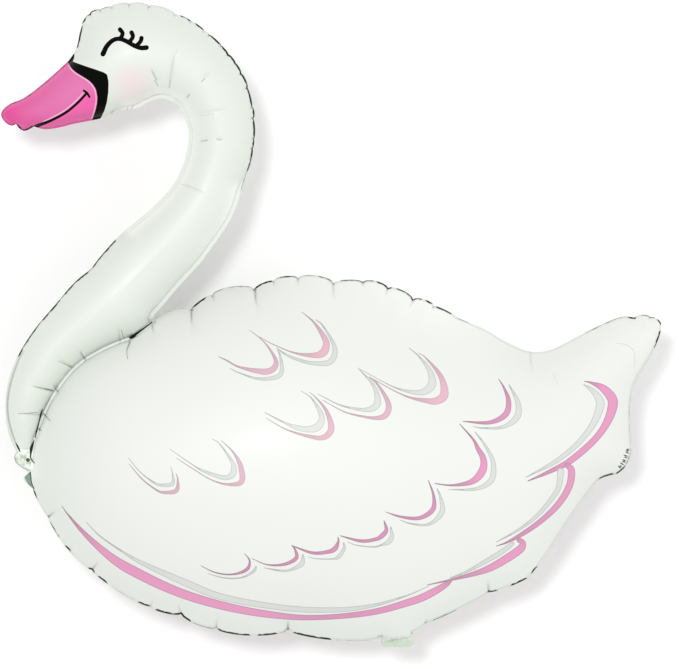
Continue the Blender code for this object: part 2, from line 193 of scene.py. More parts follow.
# Where the seam lies flat: start, end, width of the weld in metres
FLAT_SEAMS = (((124, 109), (124, 231), 0.0055), ((152, 322), (243, 184), 0.006))

# Where the rim shows as a dark line of painted shade and dark reflection: start, end along the outline,
# strength
DARK_RIMS = (((247, 172), (208, 34), 0.75), ((241, 191), (249, 165), 0.45), ((249, 167), (251, 160), 0.8),
             ((252, 157), (253.5, 141), 1.0), ((254, 136), (253.5, 121), 1.1),
             ((253.2, 116), (252.4, 109), 1.1), ((251.6, 104), (248, 90), 1.1), ((246, 83), (222, 47), 1.1),
             ((220, 44.5), (211, 36), 1.0), ((204, 30), (195, 24), 0.9), ((191, 21), (180, 16), 0.8),
             ((175, 13), (120, 5), 0.3), ((110, 7), (82, 24), 0.55), ((97, 12), (88, 14.5), 0.75),
             ((85.5, 18), (82.5, 23), 0.95), ((82, 26), (78, 48), 1.0), ((68, 62), (26, 97), 0.5),
             ((26, 97), (16, 124), 0.5), ((14.6, 455), (29, 471.3), 0.4), ((17, 125), (34, 127), 0.9),
             ((116, 240), (93, 267), 0.85), ((95, 265), (20, 358), 0.5), ((88, 272), (65, 295), 0.9),
             ((60, 300), (42, 320), 0.9), ((40, 322), (20, 358), 0.8), ((20, 358), (13, 446), 0.1),
             ((33, 490), (38, 499), 0.7), ((51, 521), (60, 537), 0.6), ((66, 545), (70, 552), 0.9),
             ((88, 568), (96, 572), 0.9), ((100, 574), (108, 582), 1.0), ((112, 585), (134, 600), 0.35),
             ((138, 602), (150, 606), 1.0), ((156, 609), (192, 619), 1.1), ((194, 620), (216, 628), 0.5),
             ((218, 628), (250, 636), 0.95), ((258, 637), (277, 634), 1.0), ((279, 634), (287, 630), 0.5),
             ((294, 632), (331, 640), 1.1), ((335, 640), (370, 641), 0.3), ((432, 620), (456, 610), 0.55),
             ((488, 592), (497, 589), 0.85), ((511, 585), (526, 577), 1.0), ((531, 573), (538, 567), 0.9),
             ((600, 480), (614, 475.5), 0.95), ((616, 475), (626, 466), 0.9),
             ((627, 465), (631.5, 452), 0.25), ((660, 330), (654, 348), 0.9), ((661, 325), (657, 319), 0.8),
             ((655, 318), (640, 316), 0.6), ((636, 317), (628, 316), 1.0), ((627, 317), (585, 333), 0.5),
             ((654, 349), (631, 398), 0.22), ((631, 398), (631, 446), 0.32), ((470, 323), (456, 317), 0.45),
             ((452, 314), (436, 306), 0.9), ((433, 304), (425, 301), 1.0), ((422, 300), (396, 289), 0.75),
             ((392, 288), (376, 283), 0.9), ((374, 283), (340, 280), 0.65), ((331, 280), (318, 276), 0.7),
             ((316, 276), (300, 277), 0.45), ((297, 278), (276, 279), 0.7), ((272, 281), (255, 288), 0.95),
             ((252, 287.5), (213, 294.5), 0.5), ((206, 297), (191, 307), 1.0),
             ((186, 311), (156, 320), 0.3))

# Small dark places of painted shade: x, y, radius on the drawing grid, strength
DARK_SPOTS = ((30, 452, 1.1, 0.5), (22, 456, 1.0, 0.4), (380, 635, 1.2, 0.6), (386, 638, 1.1, 0.5),
              (391, 640, 1.1, 0.5), (411.5, 633, 1.1, 0.6), (331, 280.5, 1.1, 0.9), (362, 282, 1.2, 0.9),
              (388, 288, 1.2, 0.9), (41, 414, 1.1, 0.6), (71, 58, 1.6, 0.9))

# Where shade is painted along the weld under the neck: start, end along it, strength in its middle and at
# its edges
DARK_WELDS = (((152, 322), (131, 337.5), 0.3, 0.0), ((131, 337.5), (52, 398), 0.0, 0.25),
              ((52, 398), (43, 412), 0.0, 0.5), ((43, 412), (31, 460), 0.0, 0.25))

# The shade in sharp folds, as strokes: x, y and width on the drawing grid
FOLD_SHADES = {
    "deep_shade": (
        ((152, 322, 1.2), (143, 329, 1.7), (136, 334, 2.5), (132, 337.2, 3.2), (129, 337.6, 0.8)),
        ((42.5, 409, 0.8), (41, 414, 1.7), (39, 422, 1.1), (37, 430, 1.6), (35, 438, 0.8)),
        ((34.4, 439.5, 0.7), (31.4, 448.5, 3), (30.8, 454, 1.6), (30.8, 458.5, 1.2), (34.5, 463, 1)),
        ((15.7, 442.5, 0.8), (18, 447, 1.9), (20, 451.5, 1.2)),
        ((29.5, 472, 1.6), (31, 476, 1), (31.5, 482, 1.2), (34, 489, 1)),
    ),
    "shade": (
        ((43, 388.3, 0.7), (48, 389.3, 1), (53, 390.3, 0.8)), ((53.5, 385, 0.7), (57.5, 392, 0.7)),
        ((43, 413.5, 0.9), (46, 416, 0.8), (50.5, 421, 0.7)), ((37.5, 427, 0.9), (41.5, 431, 0.7)),
        ((130.3, 342, 1), (127, 350, 0.8), (127.6, 359, 0.6)), ((121.5, 330, 0.7), (123.5, 338, 0.8)),
    ),
    "pale_shade": (
        ((58, 361, 0.7), (71.5, 367.2, 1)), ((80, 351.5, 0.7), (86, 360, 0.9)),
        ((33, 386.3, 0.7), (42, 388.2, 1.2)),
        ((18, 413.6, 0.7), (27, 413.6, 1.2), (32, 413, 1.2), (38, 412.3, 0.8)),
        ((24, 351, 0.7), (18.6, 360.5, 1.5), (11.7, 380, 1.9), (7.8, 400, 2), (8.3, 416, 1.9),
         (11.3, 430, 1.8), (15.3, 441.5, 1.4)),
        ((152, 71, 0.7), (156.5, 80, 1)), ((154.5, 80, 0.7), (158.3, 86, 0.8)),
        ((187.3, 97.5, 0.9), (189.5, 94, 0.8)), ((201, 141.3, 0.7), (207.5, 140.3, 0.9)),
        ((217, 139.5, 0.7), (222, 140, 0.7)), ((201.5, 82, 0.8), (205, 78.5, 0.8)),
        ((111, 113.5, 0.9), (114, 110, 0.8)), ((125, 112.5, 1), (128, 107.5, 0.8)),
        ((131, 109, 0.9), (134, 105, 0.7)), ((170.2, 80, 0.7), (169.6, 88, 0.8)),
    ),
    "faint_shade": (
        ((177, 50, 0.7), (172, 66, 0.8), (170.2, 80, 0.8)), ((205, 78.5, 0.7), (211, 71, 0.6)),
        ((200, 116, 0.7), (214, 113.5, 0.7)), ((181, 184, 0.6), (192, 187, 0.8), (204, 193, 0.6)),
        ((616, 343, 0.6), (628, 345.5, 0.9), (634.5, 353, 0.9), (634, 368, 0.6)),
    ),
}
BREAST_FLAP = ((24.5, 477.5), (29.5, 473), (31, 479), (33, 487.5), (28.5, 484.5))

# The print. Crescent strokes: x, y and width on the drawing grid, from the upper tip round to the left tip
BACK_MARKS = {
    "rose": (
        ((249, 330, 0.5), (258.3, 336.7, 1), (266.7, 345, 1.5), (275, 358.3, 3.5), (275.8, 365, 5.5),
         (271.7, 370, 6), (263.3, 371.7, 6), (238.3, 366.7, 2), (225, 359.5, 1.5), (218.3, 356.7, 0.6)),
        ((301.3, 311.7, 0.6), (313.3, 321.7, 2), (324.2, 337.5, 5.5), (326.3, 345, 7), (323.3, 352.5, 8),
         (315, 355.3, 5.5), (295, 353, 1.8), (271.7, 343.7, 0.9), (260, 337, 0.6)),
        ((309.2, 392, 0.5), (315, 396.7, 1), (326.3, 410.8, 3.5), (331.3, 428.3, 6.5), (326.7, 435.8, 6),
         (318.3, 438, 4.5), (288.3, 430.3, 1.5), (265.8, 418, 0.6)),
        ((369.2, 377, 1.2), (376.7, 383.3, 2), (386.7, 399.2, 4.5), (388.7, 408.3, 6), (385, 415.8, 6),
         (376.7, 418, 4), (366.7, 417.2, 2.5), (345, 412, 1.3), (322.5, 400, 0.6)),
        ((418.3, 353, 0.6), (424.2, 356.3, 1), (440.8, 376.7, 5), (444.2, 395, 8.5), (436.7, 400.8, 7.5),
         (426.7, 400.8, 5), (405, 395.8, 1.6), (370, 377.5, 0.8)),
        ((176, 473.8, 0.8), (177.8, 478.8, 1.5), (176.3, 490.6, 4.5), (163.8, 492.5, 3), (157.5, 490.6, 2),
         (142.5, 479.4, 1.3), (129, 463.8, 0.6)),
        ((221.3, 440.6, 0.6), (225.6, 444.4, 1), (233.8, 453, 2), (240.6, 466.3, 5), (241.3, 481.9, 5.5),
         (227.5, 484.4, 2.5), (211.3, 479.8, 1.2), (193.8, 469.4, 1), (176.3, 458, 0.6)),
    ),
    "silver": (
        ((277.5, 350, 1), (280, 355, 2), (281.7, 371.7, 4.5), (276.7, 377, 4.5), (258.3, 378.7, 2.7),
         (238.3, 372.5, 1.2), (230, 368.3, 0.8)),
        ((315.8, 319.7, 0.8), (321.7, 324.2, 1.5), (332.5, 341.7, 3.5), (335, 350, 5), (333.3, 358.3, 6),
         (327.5, 363, 5.5), (308.3, 362.5, 3.5), (288.3, 355.8, 2.4), (276.7, 348.3, 1)),
        ((300.8, 390.8, 0.5), (310.8, 397.5, 1.3), (320, 411.7, 4.5), (321.7, 420, 6.5), (316.7, 427.5, 8),
         (306.7, 429.2, 6), (296.7, 427.5, 5), (286.7, 423.7, 2.5), (264.7, 412.5, 0.8)),
        ((357.5, 367.5, 0.6), (374.2, 386.7, 3.5), (377.5, 403.3, 7), (371.7, 408.7, 6),
         (361.7, 409.7, 3.5), (340, 405, 1.5), (318.3, 394.2, 0.8)),
        ((409.2, 348, 0.8), (418.3, 355.8, 1.5), (428.3, 368.3, 4.5), (431.7, 376.7, 6.5),
         (431.7, 385, 8.5), (425, 391.3, 7), (415, 392.5, 4.5), (395, 387.5, 1.5), (360, 369.2, 0.6)),
        ((170.6, 466.3, 0.6), (172.5, 473.8, 1.2), (172.5, 483.8, 4), (160, 485, 2.8), (153.8, 482.5, 2),
         (140, 471.9, 1), (128.5, 458, 0.6)),
        ((212.5, 439, 0.6), (218.8, 443, 1), (231.9, 461.3, 3.5), (233.8, 467.5, 5.5), (233, 473.8, 6.5),
         (227.5, 477.5, 5), (220, 476.9, 4.5), (202.5, 470.6, 2.5), (193.8, 465.6, 1.3),
         (169.4, 448.8, 0.6)),
    ),
}
WING_MARKS = {
    "pink": (
        ((244.6, 553.6, 0.6), (249.7, 560.7, 1.8), (247, 569.3, 3.5), (232.9, 574.3, 1.8),
         (215.7, 572.6, 1.3), (200.7, 565.7, 0.6)),
        ((291.7, 545.4, 1), (295, 549.3, 2), (296.4, 557.9, 4), (284.3, 564.3, 3), (267, 564.6, 1.3),
         (252, 558.6, 0.6)),
        ((337.9, 537.4, 1), (338.6, 540.7, 2), (335, 548.6, 5), (328.6, 551.7, 4), (312.9, 552.9, 3),
         (292, 545.7, 1)),
        ((384, 520.7, 1), (386.4, 530, 4), (382.9, 535, 5), (377, 538.9, 3.8), (361.4, 541, 3.3),
         (340, 535.7, 0.8)),
        ((428.3, 480.3, 0.8), (433.6, 495.7, 2.8), (432.9, 509.3, 5), (420, 517.9, 4), (401.4, 516.9, 2.5),
         (385.7, 512, 0.6)),
        ((459.7, 424, 0.8), (473.6, 440, 2.5), (477.9, 448.6, 4.5), (482.7, 457, 6), (483.9, 464.3, 7),
         (482, 471.4, 8), (476.4, 478.6, 7), (468.6, 482.9, 5), (451.4, 485.3, 2), (435, 483.6, 1)),
        ((498.3, 378.6, 0.6), (503.6, 387, 2), (508.6, 401.4, 5), (505.7, 414.3, 6), (490, 422.4, 4),
         (462.9, 421.4, 0.8)),
    ),
    "silver": (
        ((256, 567, 2), (253.6, 571.4, 3), (241.4, 577.6, 1.5), (224.3, 577.9, 1.3), (207.9, 573.6, 0.6)),
        ((302.9, 555, 2), (302, 563.6, 5), (290, 570, 2.5), (281.4, 570.7, 2.2), (264.3, 567.9, 0.8)),
        ((343.6, 542.9, 1.5), (344.3, 547.9, 3), (338.6, 556.9, 4), (332.9, 558.9, 1.5), (315.7, 558.6, 1),
         (308.6, 557, 0.6)),
        ((390.7, 527, 1.5), (391.7, 537, 4.5), (388.6, 542, 5), (381.4, 545, 2), (374.3, 546.9, 1.5),
         (355.7, 545, 1), (347, 541.7, 0.6)),
        ((437, 488.6, 1), (440, 495.7, 2.5), (442, 512, 5.5), (428.6, 524.3, 3), (410, 523.5, 1.5),
         (400, 520, 0.8)),
        ((475, 432, 1), (481.4, 440, 2), (487, 448.6, 3), (491.4, 457, 4), (493.6, 465.7, 5),
         (491.4, 480, 6), (477, 488.6, 3.5), (448.6, 489.7, 0.6)),
        ((508.9, 384.6, 1), (517.9, 402.9, 5), (517, 417, 6.5), (502.9, 427, 3.5), (481.4, 428, 1.5),
         (472.9, 426.4, 0.6)),
    ),
}
TAIL_MARKS = {
    "pink": (
        ((584.3, 381.4, 0.8), (590, 382.4, 2), (604.3, 389.3, 8), (612.9, 402.9, 10), (601.4, 431.4, 7),
         (571.4, 460, 6.5), (548.6, 472, 4), (527.9, 481, 1)),
        ((567, 465, 5), (571.4, 470, 7), (569.3, 485.7, 7), (559.3, 502.9, 6.5), (542.9, 519.3, 5.5),
         (522.9, 533.6, 4.5), (505.7, 542.9, 2), (496.4, 546, 0.8)),
        ((519, 540, 5), (522.9, 543, 6), (520.7, 548.6, 8), (504.3, 560, 8), (490, 568, 7), (475, 573.5, 5),
         (450, 580, 2.2), (427, 585, 0.8)),
        ((62, 506, 0.6), (66, 512, 1.2), (84, 533, 4.5), (110, 556.5, 8), (130, 569.3, 10),
         (175, 590.8, 9.3), (220, 605, 8.4), (265, 613.8, 7.2), (310, 617.6, 5.2), (370, 612.6, 6),
         (415, 600.3, 7.4), (430, 593.8, 7.4), (446, 584.5, 5.5), (453, 578.5, 1.5)),
    ),
    "silver": (
        ((583.6, 384.6, 0.8), (590, 388.6, 4), (597, 395.7, 7), (600.3, 404.3, 8.5), (592.9, 424.3, 6.5),
         (577, 444.3, 5.5), (555.7, 461.4, 4.5), (525.7, 477.4, 0.8)),
        ((560.7, 471.4, 7), (558.6, 487, 5.5), (552.9, 497, 5), (537, 515.7, 4), (517, 530.7, 2.5),
         (496.4, 542, 0.8)),
        ((512.5, 543.5, 4), (504.3, 550, 5), (494.3, 556.4, 5), (465, 572.5, 2.5), (450, 578, 1)),
        ((86, 522, 0.6), (100, 536, 1.3), (120, 550, 2), (140, 562, 4), (185, 582.5, 7), (220, 596.4, 6.6),
         (270, 606, 6), (310, 609.8, 5.5), (350, 609, 4.7), (378, 604.4, 3.2), (399, 598.2, 2),
         (411, 594, 1.1), (429, 586, 0.6)),
    ),
}

# The face: strokes as above, areas as closed outlines
EYE_STROKES = (((103, 54, 5.2), (107, 46, 4.8), (113, 40.3, 4.5), (119, 38.8, 4.5), (126, 41, 4.6),
                (134, 45.5, 4.6), (141, 48, 4.7), (146.4, 47.6, 5)),
               ((120, 29.5, 4.5), (122.7, 33.5, 4.2), (120, 39, 4.2)),
               ((131.5, 32.5, 4.5), (133, 36.5, 4.2), (129.5, 42, 4.2)),
               ((141.5, 38, 4.5), (140.5, 41.5, 4.2), (136, 46, 4.2)))
MOUTH_STROKES = (((36, 126.3, 3.6), (50, 121, 2.8), (66, 112.5, 2.5), (78, 102.5, 2.5), (86.5, 93.5, 2.4)),
                 ((83.8, 90.6, 2.1), (87, 93, 2.4), (89.5, 97, 2.1)))
# A painted highlight along the mouth
MOUTH_HIGHLIGHT = ((43, 121.6, 0.8), (50, 118.6, 1.2), (65.2, 110, 1.2), (76.6, 100.2, 1.2), (83, 93, 0.8))
BAND = ((74.5, 53.5), (74.3, 58.5), (73, 61.7), (85, 66), (95, 69.3), (103, 72), (107.2, 74.5), (108.6, 82),
        (108.4, 92), (107, 102), (104.5, 111), (100.5, 118.5), (98, 124), (91, 124), (92, 120.5), (95, 112),
        (97, 104), (97.4, 97), (96, 89.5), (92.5, 84), (88, 80), (82, 76.3), (75, 72), (70.5, 67.5),
        (69, 63.5), (65, 60))
BEAK_LINE = ((68.8, 65.5, 1), (71, 69, 1.6), (75, 72.8, 1.6), (82, 77.2, 1.5), (88, 81, 1.5), (92, 85, 1.4),
             (95, 90.5, 1.4), (96.2, 98, 1.4), (95.6, 105, 1.4), (94, 112, 1.4), (92, 118.5, 1.2))
BEAK_BACK = ((69, 63.5), (70.5, 67.5), (75, 72), (82, 76.3), (88, 80), (92.5, 84), (96, 89.5), (97.4, 97),
             (97, 104), (95, 112), (92, 120.5))
BEAK_SURROUND = ((92, 128), (60, 136), (20, 140), (-6, 120), (-6, 98), (30, 80), (62, 58))  # off the film
BEAK_TIP, BEAK_ROOT, BEAK_GLOW = (4, 116), (92, 84), (76, 88)  # the glow is its palest place
BLUSH_CENTRE, BLUSH_REACH = (132, 83.5), 18


def srgb(red, green, blue):
    """A colour as a screen shows it, from 0 to 255, turned into light."""
    shown = np.array((red, green, blue)) / 255
    return tuple(np.where(shown <= 0.04045, shown / 12.92, ((shown + 0.055) / 1.055) ** 2.4))


FILM_COLOUR = srgb(228, 230, 226)
# Painted shade: the darker, greener film towards the welds, over the neck and on the breast
FILM_EDGE_SHADE_COLOUR = srgb(216, 223, 213)
# Painted light: the paler film towards the edge of the back
FILM_BACK_LIGHT_COLOUR = srgb(242, 245, 240)  # towards the edge of the back
# Painted light where the film leaves a weld
FOOT_LIGHT_COLOUR = srgb(252, 255, 251)  # where the film leaves the seam
FLANGE_COLOUR = srgb(218, 223, 215)
# The weld under the neck is pale, raised further as painted light against the shade of its valley
WELD_PALE_AND_LIT_COLOUR = srgb(251, 255, 251)
# Painted shade in the hanging tab's crumples, and the inflation tab's greener tint
TAB_TINT_AND_SHADE_COLOUR = srgb(176, 196, 172)
# Painted shade in creases, folds, welds, spots and along the rim
CREASE_SHADE_COLOUR = srgb(48, 66, 52)
# The shade inks are painted shade in folds, the pale line by the mouth is a painted highlight, and the lower
# beak's colour holds painted light
INKS = {"rose": srgb(221, 177, 192), "rose_edge": srgb(178, 155, 165),
        "pink": srgb(222, 148, 186), "pink_edge": srgb(160, 124, 143),
        "silver": srgb(212, 215, 211), "silver_edge": srgb(172, 179, 175),
        "deep_shade": srgb(38, 54, 42), "shade": srgb(140, 154, 142), "pale_shade": srgb(172, 182, 172),
        "faint_shade": srgb(204, 212, 204), "flap_shade": srgb(116, 148, 127),
        "mouth_highlight": srgb(238, 178, 205), "black": srgb(15, 16, 14), "blush": srgb(230, 217, 216),
        "beak": srgb(216, 102, 162), "beak_tip": srgb(220, 70, 148), "beak_low_painted_light": srgb(233, 94, 167),
        "beak_pale": srgb(219, 112, 170), "beak_line": srgb(234, 172, 200)}


def smooth_run(points, steps=8):
    """A curve through every point, with even speed so that near points don't make loops."""
    ends = [np.array(p, float) for p in points]
    ends = [2 * ends[0] - ends[1]] + ends + [2 * ends[-1] - ends[-2]]
    made = []
    for a, b, c, d in zip(ends, ends[1:], ends[2:], ends[3:]):
        span = np.linalg.norm(c - b)
        before, after = np.linalg.norm(b - a), np.linalg.norm(d - c)
        leave = ((c - a) / (before + span)) * span
        arrive = ((d - b) / (span + after)) * span
        for step in range(steps):
            t = step / steps
            made.append((2 * t**3 - 3 * t**2 + 1) * b + (t**3 - 2 * t**2 + t) * leave
                        + (3 * t**2 - 2 * t**3) * c + (t**3 - t**2) * arrive)
    return made + [ends[-2]]


def scalloped_run(notches, steps=16):
    """Arcs from notch to notch, each bowed outwards by its own height."""
    made = []
    for (x0, y0, height), (x1, y1, _) in zip(notches, notches[1:]):
        start, end = np.array((x0, y0), float), np.array((x1, y1), float)
        along = end - start
        out = np.array((-along[1], along[0])) / np.linalg.norm(along)
        for step in range(steps):
            t = step / steps
            made.append(start + along * t + out * height * math.sqrt(math.sin(math.pi * t)))
    return made + [np.array(notches[-1][:2], float)]


def drawn_run(points):
    """A run of the outline: scalloped where its points have heights, smooth where they don't."""
    return scalloped_run(points) if len(points[0]) == 3 else smooth_run(points)


def fill_tab(unit):
    """The inflation tab's free edge, straight down from the belly with round corners."""
    left, right = np.array(BELLY_NOTCHES[-1][:2]), np.array(HIP_NOTCHES[0][:2])
    half, reach, radius = FILL_TAB_WIDTH / 2 / unit, FILL_TAB_REACH / unit, FILL_TAB_CORNER / unit
    made = [left]
    for side, first in ((-1, 0), (1, 90)):
        corner = (left + right) / 2 + (side * (half - radius), reach - radius)
        for turn in range(0, 91, 15):
            angle = math.radians(first + turn)
            made.append(corner + (-math.cos(angle) * radius, math.sin(angle) * radius))
    return made + [right]


def joined(runs):
    """The runs as one closed loop, each point once."""
    loop = []
    for point in (point for run in runs for point in run):
        if not loop or np.linalg.norm(point - loop[-1]) > SAME_POINT:
            loop.append(point)
    if np.linalg.norm(loop[0] - loop[-1]) < SAME_POINT:
        loop.pop()
    return np.array(loop)


def drawn_outline(unit):
    """The whole outline on the drawing grid."""
    return joined([*map(drawn_run, BEFORE_FILL_TAB), fill_tab(unit), *map(drawn_run, AFTER_FILL_TAB)])


def walked(line):
    """How far along the line each of its points is, in the plane."""
    return np.concatenate(((0,), np.cumsum(np.linalg.norm(np.diff(line[:, :2], axis=0), axis=1))))


def stepped(line, step):
    """Points about a step apart along a line. Further columns, such as a width, are carried along."""
    line = np.asarray(line, float)
    way = walked(line)
    places = np.linspace(0, way[-1], max(1, round(way[-1] / step)) + 1)
    return np.stack([np.interp(places, way, column) for column in line.T], axis=1)


def evenly(points, step, closed=False, sharp=math.radians(38)):
    """Points about a step apart along a line, keeping its sharp turns."""
    points = np.vstack((points, points[:1])) if closed else points
    ahead = np.diff(points, axis=0)
    heading = np.arctan2(ahead[:, 1], ahead[:, 0])
    turn = np.abs((np.diff(heading) + math.pi) % (2 * math.pi) - math.pi)
    corners = [0] + [i + 1 for i in range(len(turn)) if turn[i] > sharp] + [len(points) - 1]
    made = [stepped(points[first:last + 1], step)[:-1] for first, last in zip(corners, corners[1:])]
    return np.vstack(made if closed else made + [points[-1:]])


def is_inside(points, loop):
    """Which points a closed loop holds."""
    held = np.zeros(len(points), bool)
    near = np.nonzero(((points >= loop.min(axis=0)) & (points <= loop.max(axis=0))).all(axis=1))[0]
    x, y = points[near].T
    hit = np.zeros(len(near), bool)
    for (x0, y0), (x1, y1) in zip(loop, np.roll(loop, -1, axis=0)):
        if y0 != y1:
            hit ^= ((y0 > y) != (y1 > y)) & (x < x0 + (y - y0) * (x1 - x0) / (y1 - y0))
    held[near] = hit
    return held


def lefts(line, closed=False):
    """The direction to the left of a line at each of its points."""
    ahead = np.roll(line, -1, axis=0) - np.roll(line, 1, axis=0) if closed else np.gradient(line, axis=0)
    left = np.stack((-ahead[:, 1], ahead[:, 0]), axis=1)
    return left / np.linalg.norm(left, axis=1)[:, None]


def smoothstep(t):
    """An even change from 0 to 1 with soft ends."""
    t = np.clip(t, 0, 1)
    return t * t * (3 - 2 * t)


def bell(away, reach):
    """1 on a line or a point, fading softly at about this reach from it."""
    return np.exp(-(away / reach) ** 2)


def tree_of(points):
    """A search tree over points in the plane."""
    tree = KDTree(len(points))
    for index, (x, y) in enumerate(points):
        tree.insert((x, y, 0), index)
    tree.balance()
    return tree


class Guide:
    """A line that tells how near it passes to a point and how far along it that is."""

    def __init__(self, line, closed=False):
        path = np.vstack((line, line[:1])) if closed else line
        self.starts, self.ahead, self.way = path[:-1], np.diff(path, axis=0), walked(path)
        self.tree = tree_of(self.starts + self.ahead / 2)
        self.closed = closed

    def look(self, points):
        """Each point's distance from the line and its way along it."""
        middle = np.array([self.tree.find((x, y, 0))[1] for x, y in points], int)
        gap, way = np.full(len(points), np.inf), np.zeros(len(points))
        for shift in (-1, 0, 1):
            piece = middle + shift
            piece = piece % len(self.starts) if self.closed else np.clip(piece, 0, len(self.starts) - 1)
            start, ahead = self.starts[piece], self.ahead[piece]
            share = np.clip(((points - start) * ahead).sum(axis=1) / (ahead**2).sum(axis=1), 0, 1)
            away = np.linalg.norm(points - start - share[:, None] * ahead, axis=1)
            nearer = away < gap
            gap = np.where(nearer, away, gap)
            way = np.where(nearer, self.way[piece] + share * np.linalg.norm(ahead, axis=1), way)
        return gap, way


class Plan:
    """The films seen from above in metres: outline, welds and tabs, with the body on the outline's left."""

    def __init__(self, solid_box):
        low, high = solid_box
        length = high.x - low.x
        drawn = drawn_outline(length / (max(x for x, _ in TAIL_BACK) - min(x for x, _ in UPPER_BEAK)))
        self.middle = (drawn.max(axis=0) + drawn.min(axis=0)) / 2
        self.unit = length / np.ptp(drawn[:, 0])
        self.seam_level = (high.z - FLAT_SPOT_DEPTH) / 2
        self.outline = evenly(self.placed(drawn), EDGE_STEP, closed=True)
        self.edge = Guide(self.outline, closed=True)
        self.edge_length = self.edge.way[-1]
        welds = (NECK_WELD, NECK_FOOT_WELD)
        self.weld_lines = [evenly(self.placed(smooth_run(run)), EDGE_STEP) for run in welds]
        self.welds = [Guide(line) for line in self.weld_lines]
        flat_fill_tab = np.array(fill_tab(self.unit))
        flat_fill_tab[[0, -1], 1] += THROAT_DEPTH
        hanging = [*smooth_run(HANGING_TAB), NECK_FOOT_WELD[-1], NECK_FOOT_WELD[1]]
        self.tabs = [self.placed(hanging), self.placed(flat_fill_tab)]
        self.hole_centre = self.placed([HANGING_HOLE])[0]
        turns = np.linspace(0, 2 * math.pi, 16, endpoint=False)
        self.hole = HANGING_HOLE_DIAMETER / 2 * np.stack((np.cos(turns), np.sin(turns)), axis=1)
        self.flat_seams = [(self.stretch(start, end), width) for start, end, width in FLAT_SEAMS]
        neck = [smooth_run(run)[::-1] for run in reversed(NECK_FRONT)]
        back = [drawn_run(run)[::-1] for run in (HEAD_NOTCHES, NECK_BACK)]
        self.neck_side = self.placed(joined([smooth_run(NECK_WELD), *neck, *back]))

    def placed(self, drawn):
        """Points of the drawing in metres."""
        return (np.array(drawn, float)[:, :2] - self.middle) * (self.unit, -self.unit)

    def stretch(self, start, end):
        """The ways along the outline between which the shorter run from start to end lies."""
        first, last = self.edge.look(self.placed([start, end]))[1]
        return (first, last) if (last - first) % self.edge_length < self.edge_length / 2 else (last, first)

    def within(self, way, stretch, fade):
        """1 along a stretch of the outline, 0 beyond it, with a soft change at its ends."""
        start, end = stretch
        length = (end - start) % self.edge_length
        into = (way - start + self.edge_length / 2 - length / 2) % self.edge_length
        into -= self.edge_length / 2 - length / 2
        return smoothstep(np.minimum(into, length - into) / fade + 0.5)

    def flatness(self, way):
        """1 where the edge runs flat, 0 where it is gathered."""
        return np.max([self.within(way, run, FLAT_SEAM_FADE) for run, _ in self.flat_seams], axis=0)

    def seam_width(self, way):
        """The flat weld's width, which is less where the edge is gathered."""
        made = np.full(len(way), GATHERED_SEAM_WIDTH)
        for run, width in self.flat_seams:
            made += (width - GATHERED_SEAM_WIDTH) * self.within(way, run, FLAT_SEAM_FADE)
        return made


class Mark:
    """One printed area or area of painted shade: its outline in the plan, its colour, and the points inside
    that the colour needs.
    """

    def __init__(self, loop, colour_at, inner=(), both_films=True):
        self.loop, self.colour_at, self.inner, self.both_films = loop, colour_at, np.array(inner), both_films


class Printer:
    """Lays marks of the drawing on the upper film, where the camera sees them."""

    def __init__(self, plan, camera_place, solid):
        self.plan, self.camera_place = plan, camera_place
        solid.data.calc_loop_triangles()
        self.skin = BVHTree.FromPolygons([v.co for v in solid.data.vertices],
                                         [tuple(t.vertices) for t in solid.data.loop_triangles])

    def on_film(self, drawn):
        """The plan's place of each drawn point, which perspective moves where the film stands high."""
        made = []
        for x, y in self.plan.placed(drawn):
            target = Vector((x, y, self.plan.seam_level))
            hit = self.skin.ray_cast(self.camera_place, target - self.camera_place)[0]
            made.append((hit.x, hit.y) if hit is not None else (x, y))
        return np.array(made)

    def ribbon(self, points):
        """A stroke's closed outline, round at a blunt end, its centre line in the plan and its widths."""
        run = stepped(smooth_run(points, 12), PRINT_STEP / self.plan.unit)
        line, half = run[:, :2], run[:, 2] / 2
        side = lefts(line) * half[:, None]
        ahead = np.gradient(line, axis=0)
        ahead /= np.linalg.norm(ahead, axis=1)[:, None]
        loop = np.vstack((line + side, self.cap(line[-1], ahead[-1], side[-1], half[-1]),
                          (line - side)[::-1], self.cap(line[0], -ahead[0], -side[0], half[0])))
        return self.on_film(loop), self.on_film(line), run[:, 2]

    @staticmethod
    def cap(end, ahead, side, half):
        """Points round a stroke's end, from its side to the other."""
        count = max(1, round(half * 1.6))
        turns = np.linspace(0, math.pi, count + 2)[1:-1]
        return end + np.outer(np.cos(turns), side) + np.outer(np.sin(turns), ahead * half)

    def stroke(self, points, ink, edge_ink=None, both_films=True):
        """A stroke whose colour turns to that of its edge ink at its edges and in its thin tips."""
        loop, line, widths = self.ribbon(points)
        guide = Guide(line)
        half = widths * self.plan.unit / 2
        full, thin = np.array(INKS[ink]), np.array(INKS[edge_ink or ink])
        least = LEAST_SILVER_STRENGTH if ink == "silver" else LEAST_STRENGTH
        fullness = smoothstep((half - NARROW_STROKE / 2) / (BROAD_STROKE - NARROW_STROKE) * 2)
        strength = least + (1 - least) * fullness
        side = lefts(line) * np.maximum(half - EDGE_TINT_WIDTH, 0)[:, None]
        rails = [(line + side * way)[half > RAIL_LEAST * EDGE_TINT_WIDTH] for way in (-1, 1)]

        def colour_at(places):
            gap, way = guide.look(places)
            inside = np.interp(way, guide.way, half) - gap
            share = smoothstep(inside / EDGE_TINT_WIDTH) * np.interp(way, guide.way, strength)
            return thin + (full - thin) * share[:, None]

        return Mark(loop, colour_at, np.vstack([line[half > EDGE_TINT_WIDTH]] + rails), both_films)

    def area(self, points, colour_at, smooth=True):
        """A closed area of the drawing."""
        drawn = smooth_run([*points, points[0]], 6)[:-1] if smooth else points
        loop = stepped(np.vstack((drawn, drawn[:1])), PRINT_STEP / self.plan.unit)[:-1]
        return Mark(self.on_film(loop), colour_at)


def plain(ink):
    """A colour that is the same all over a mark."""
    colour = np.array(INKS[ink])
    return lambda places: np.tile(colour, (len(places), 1))


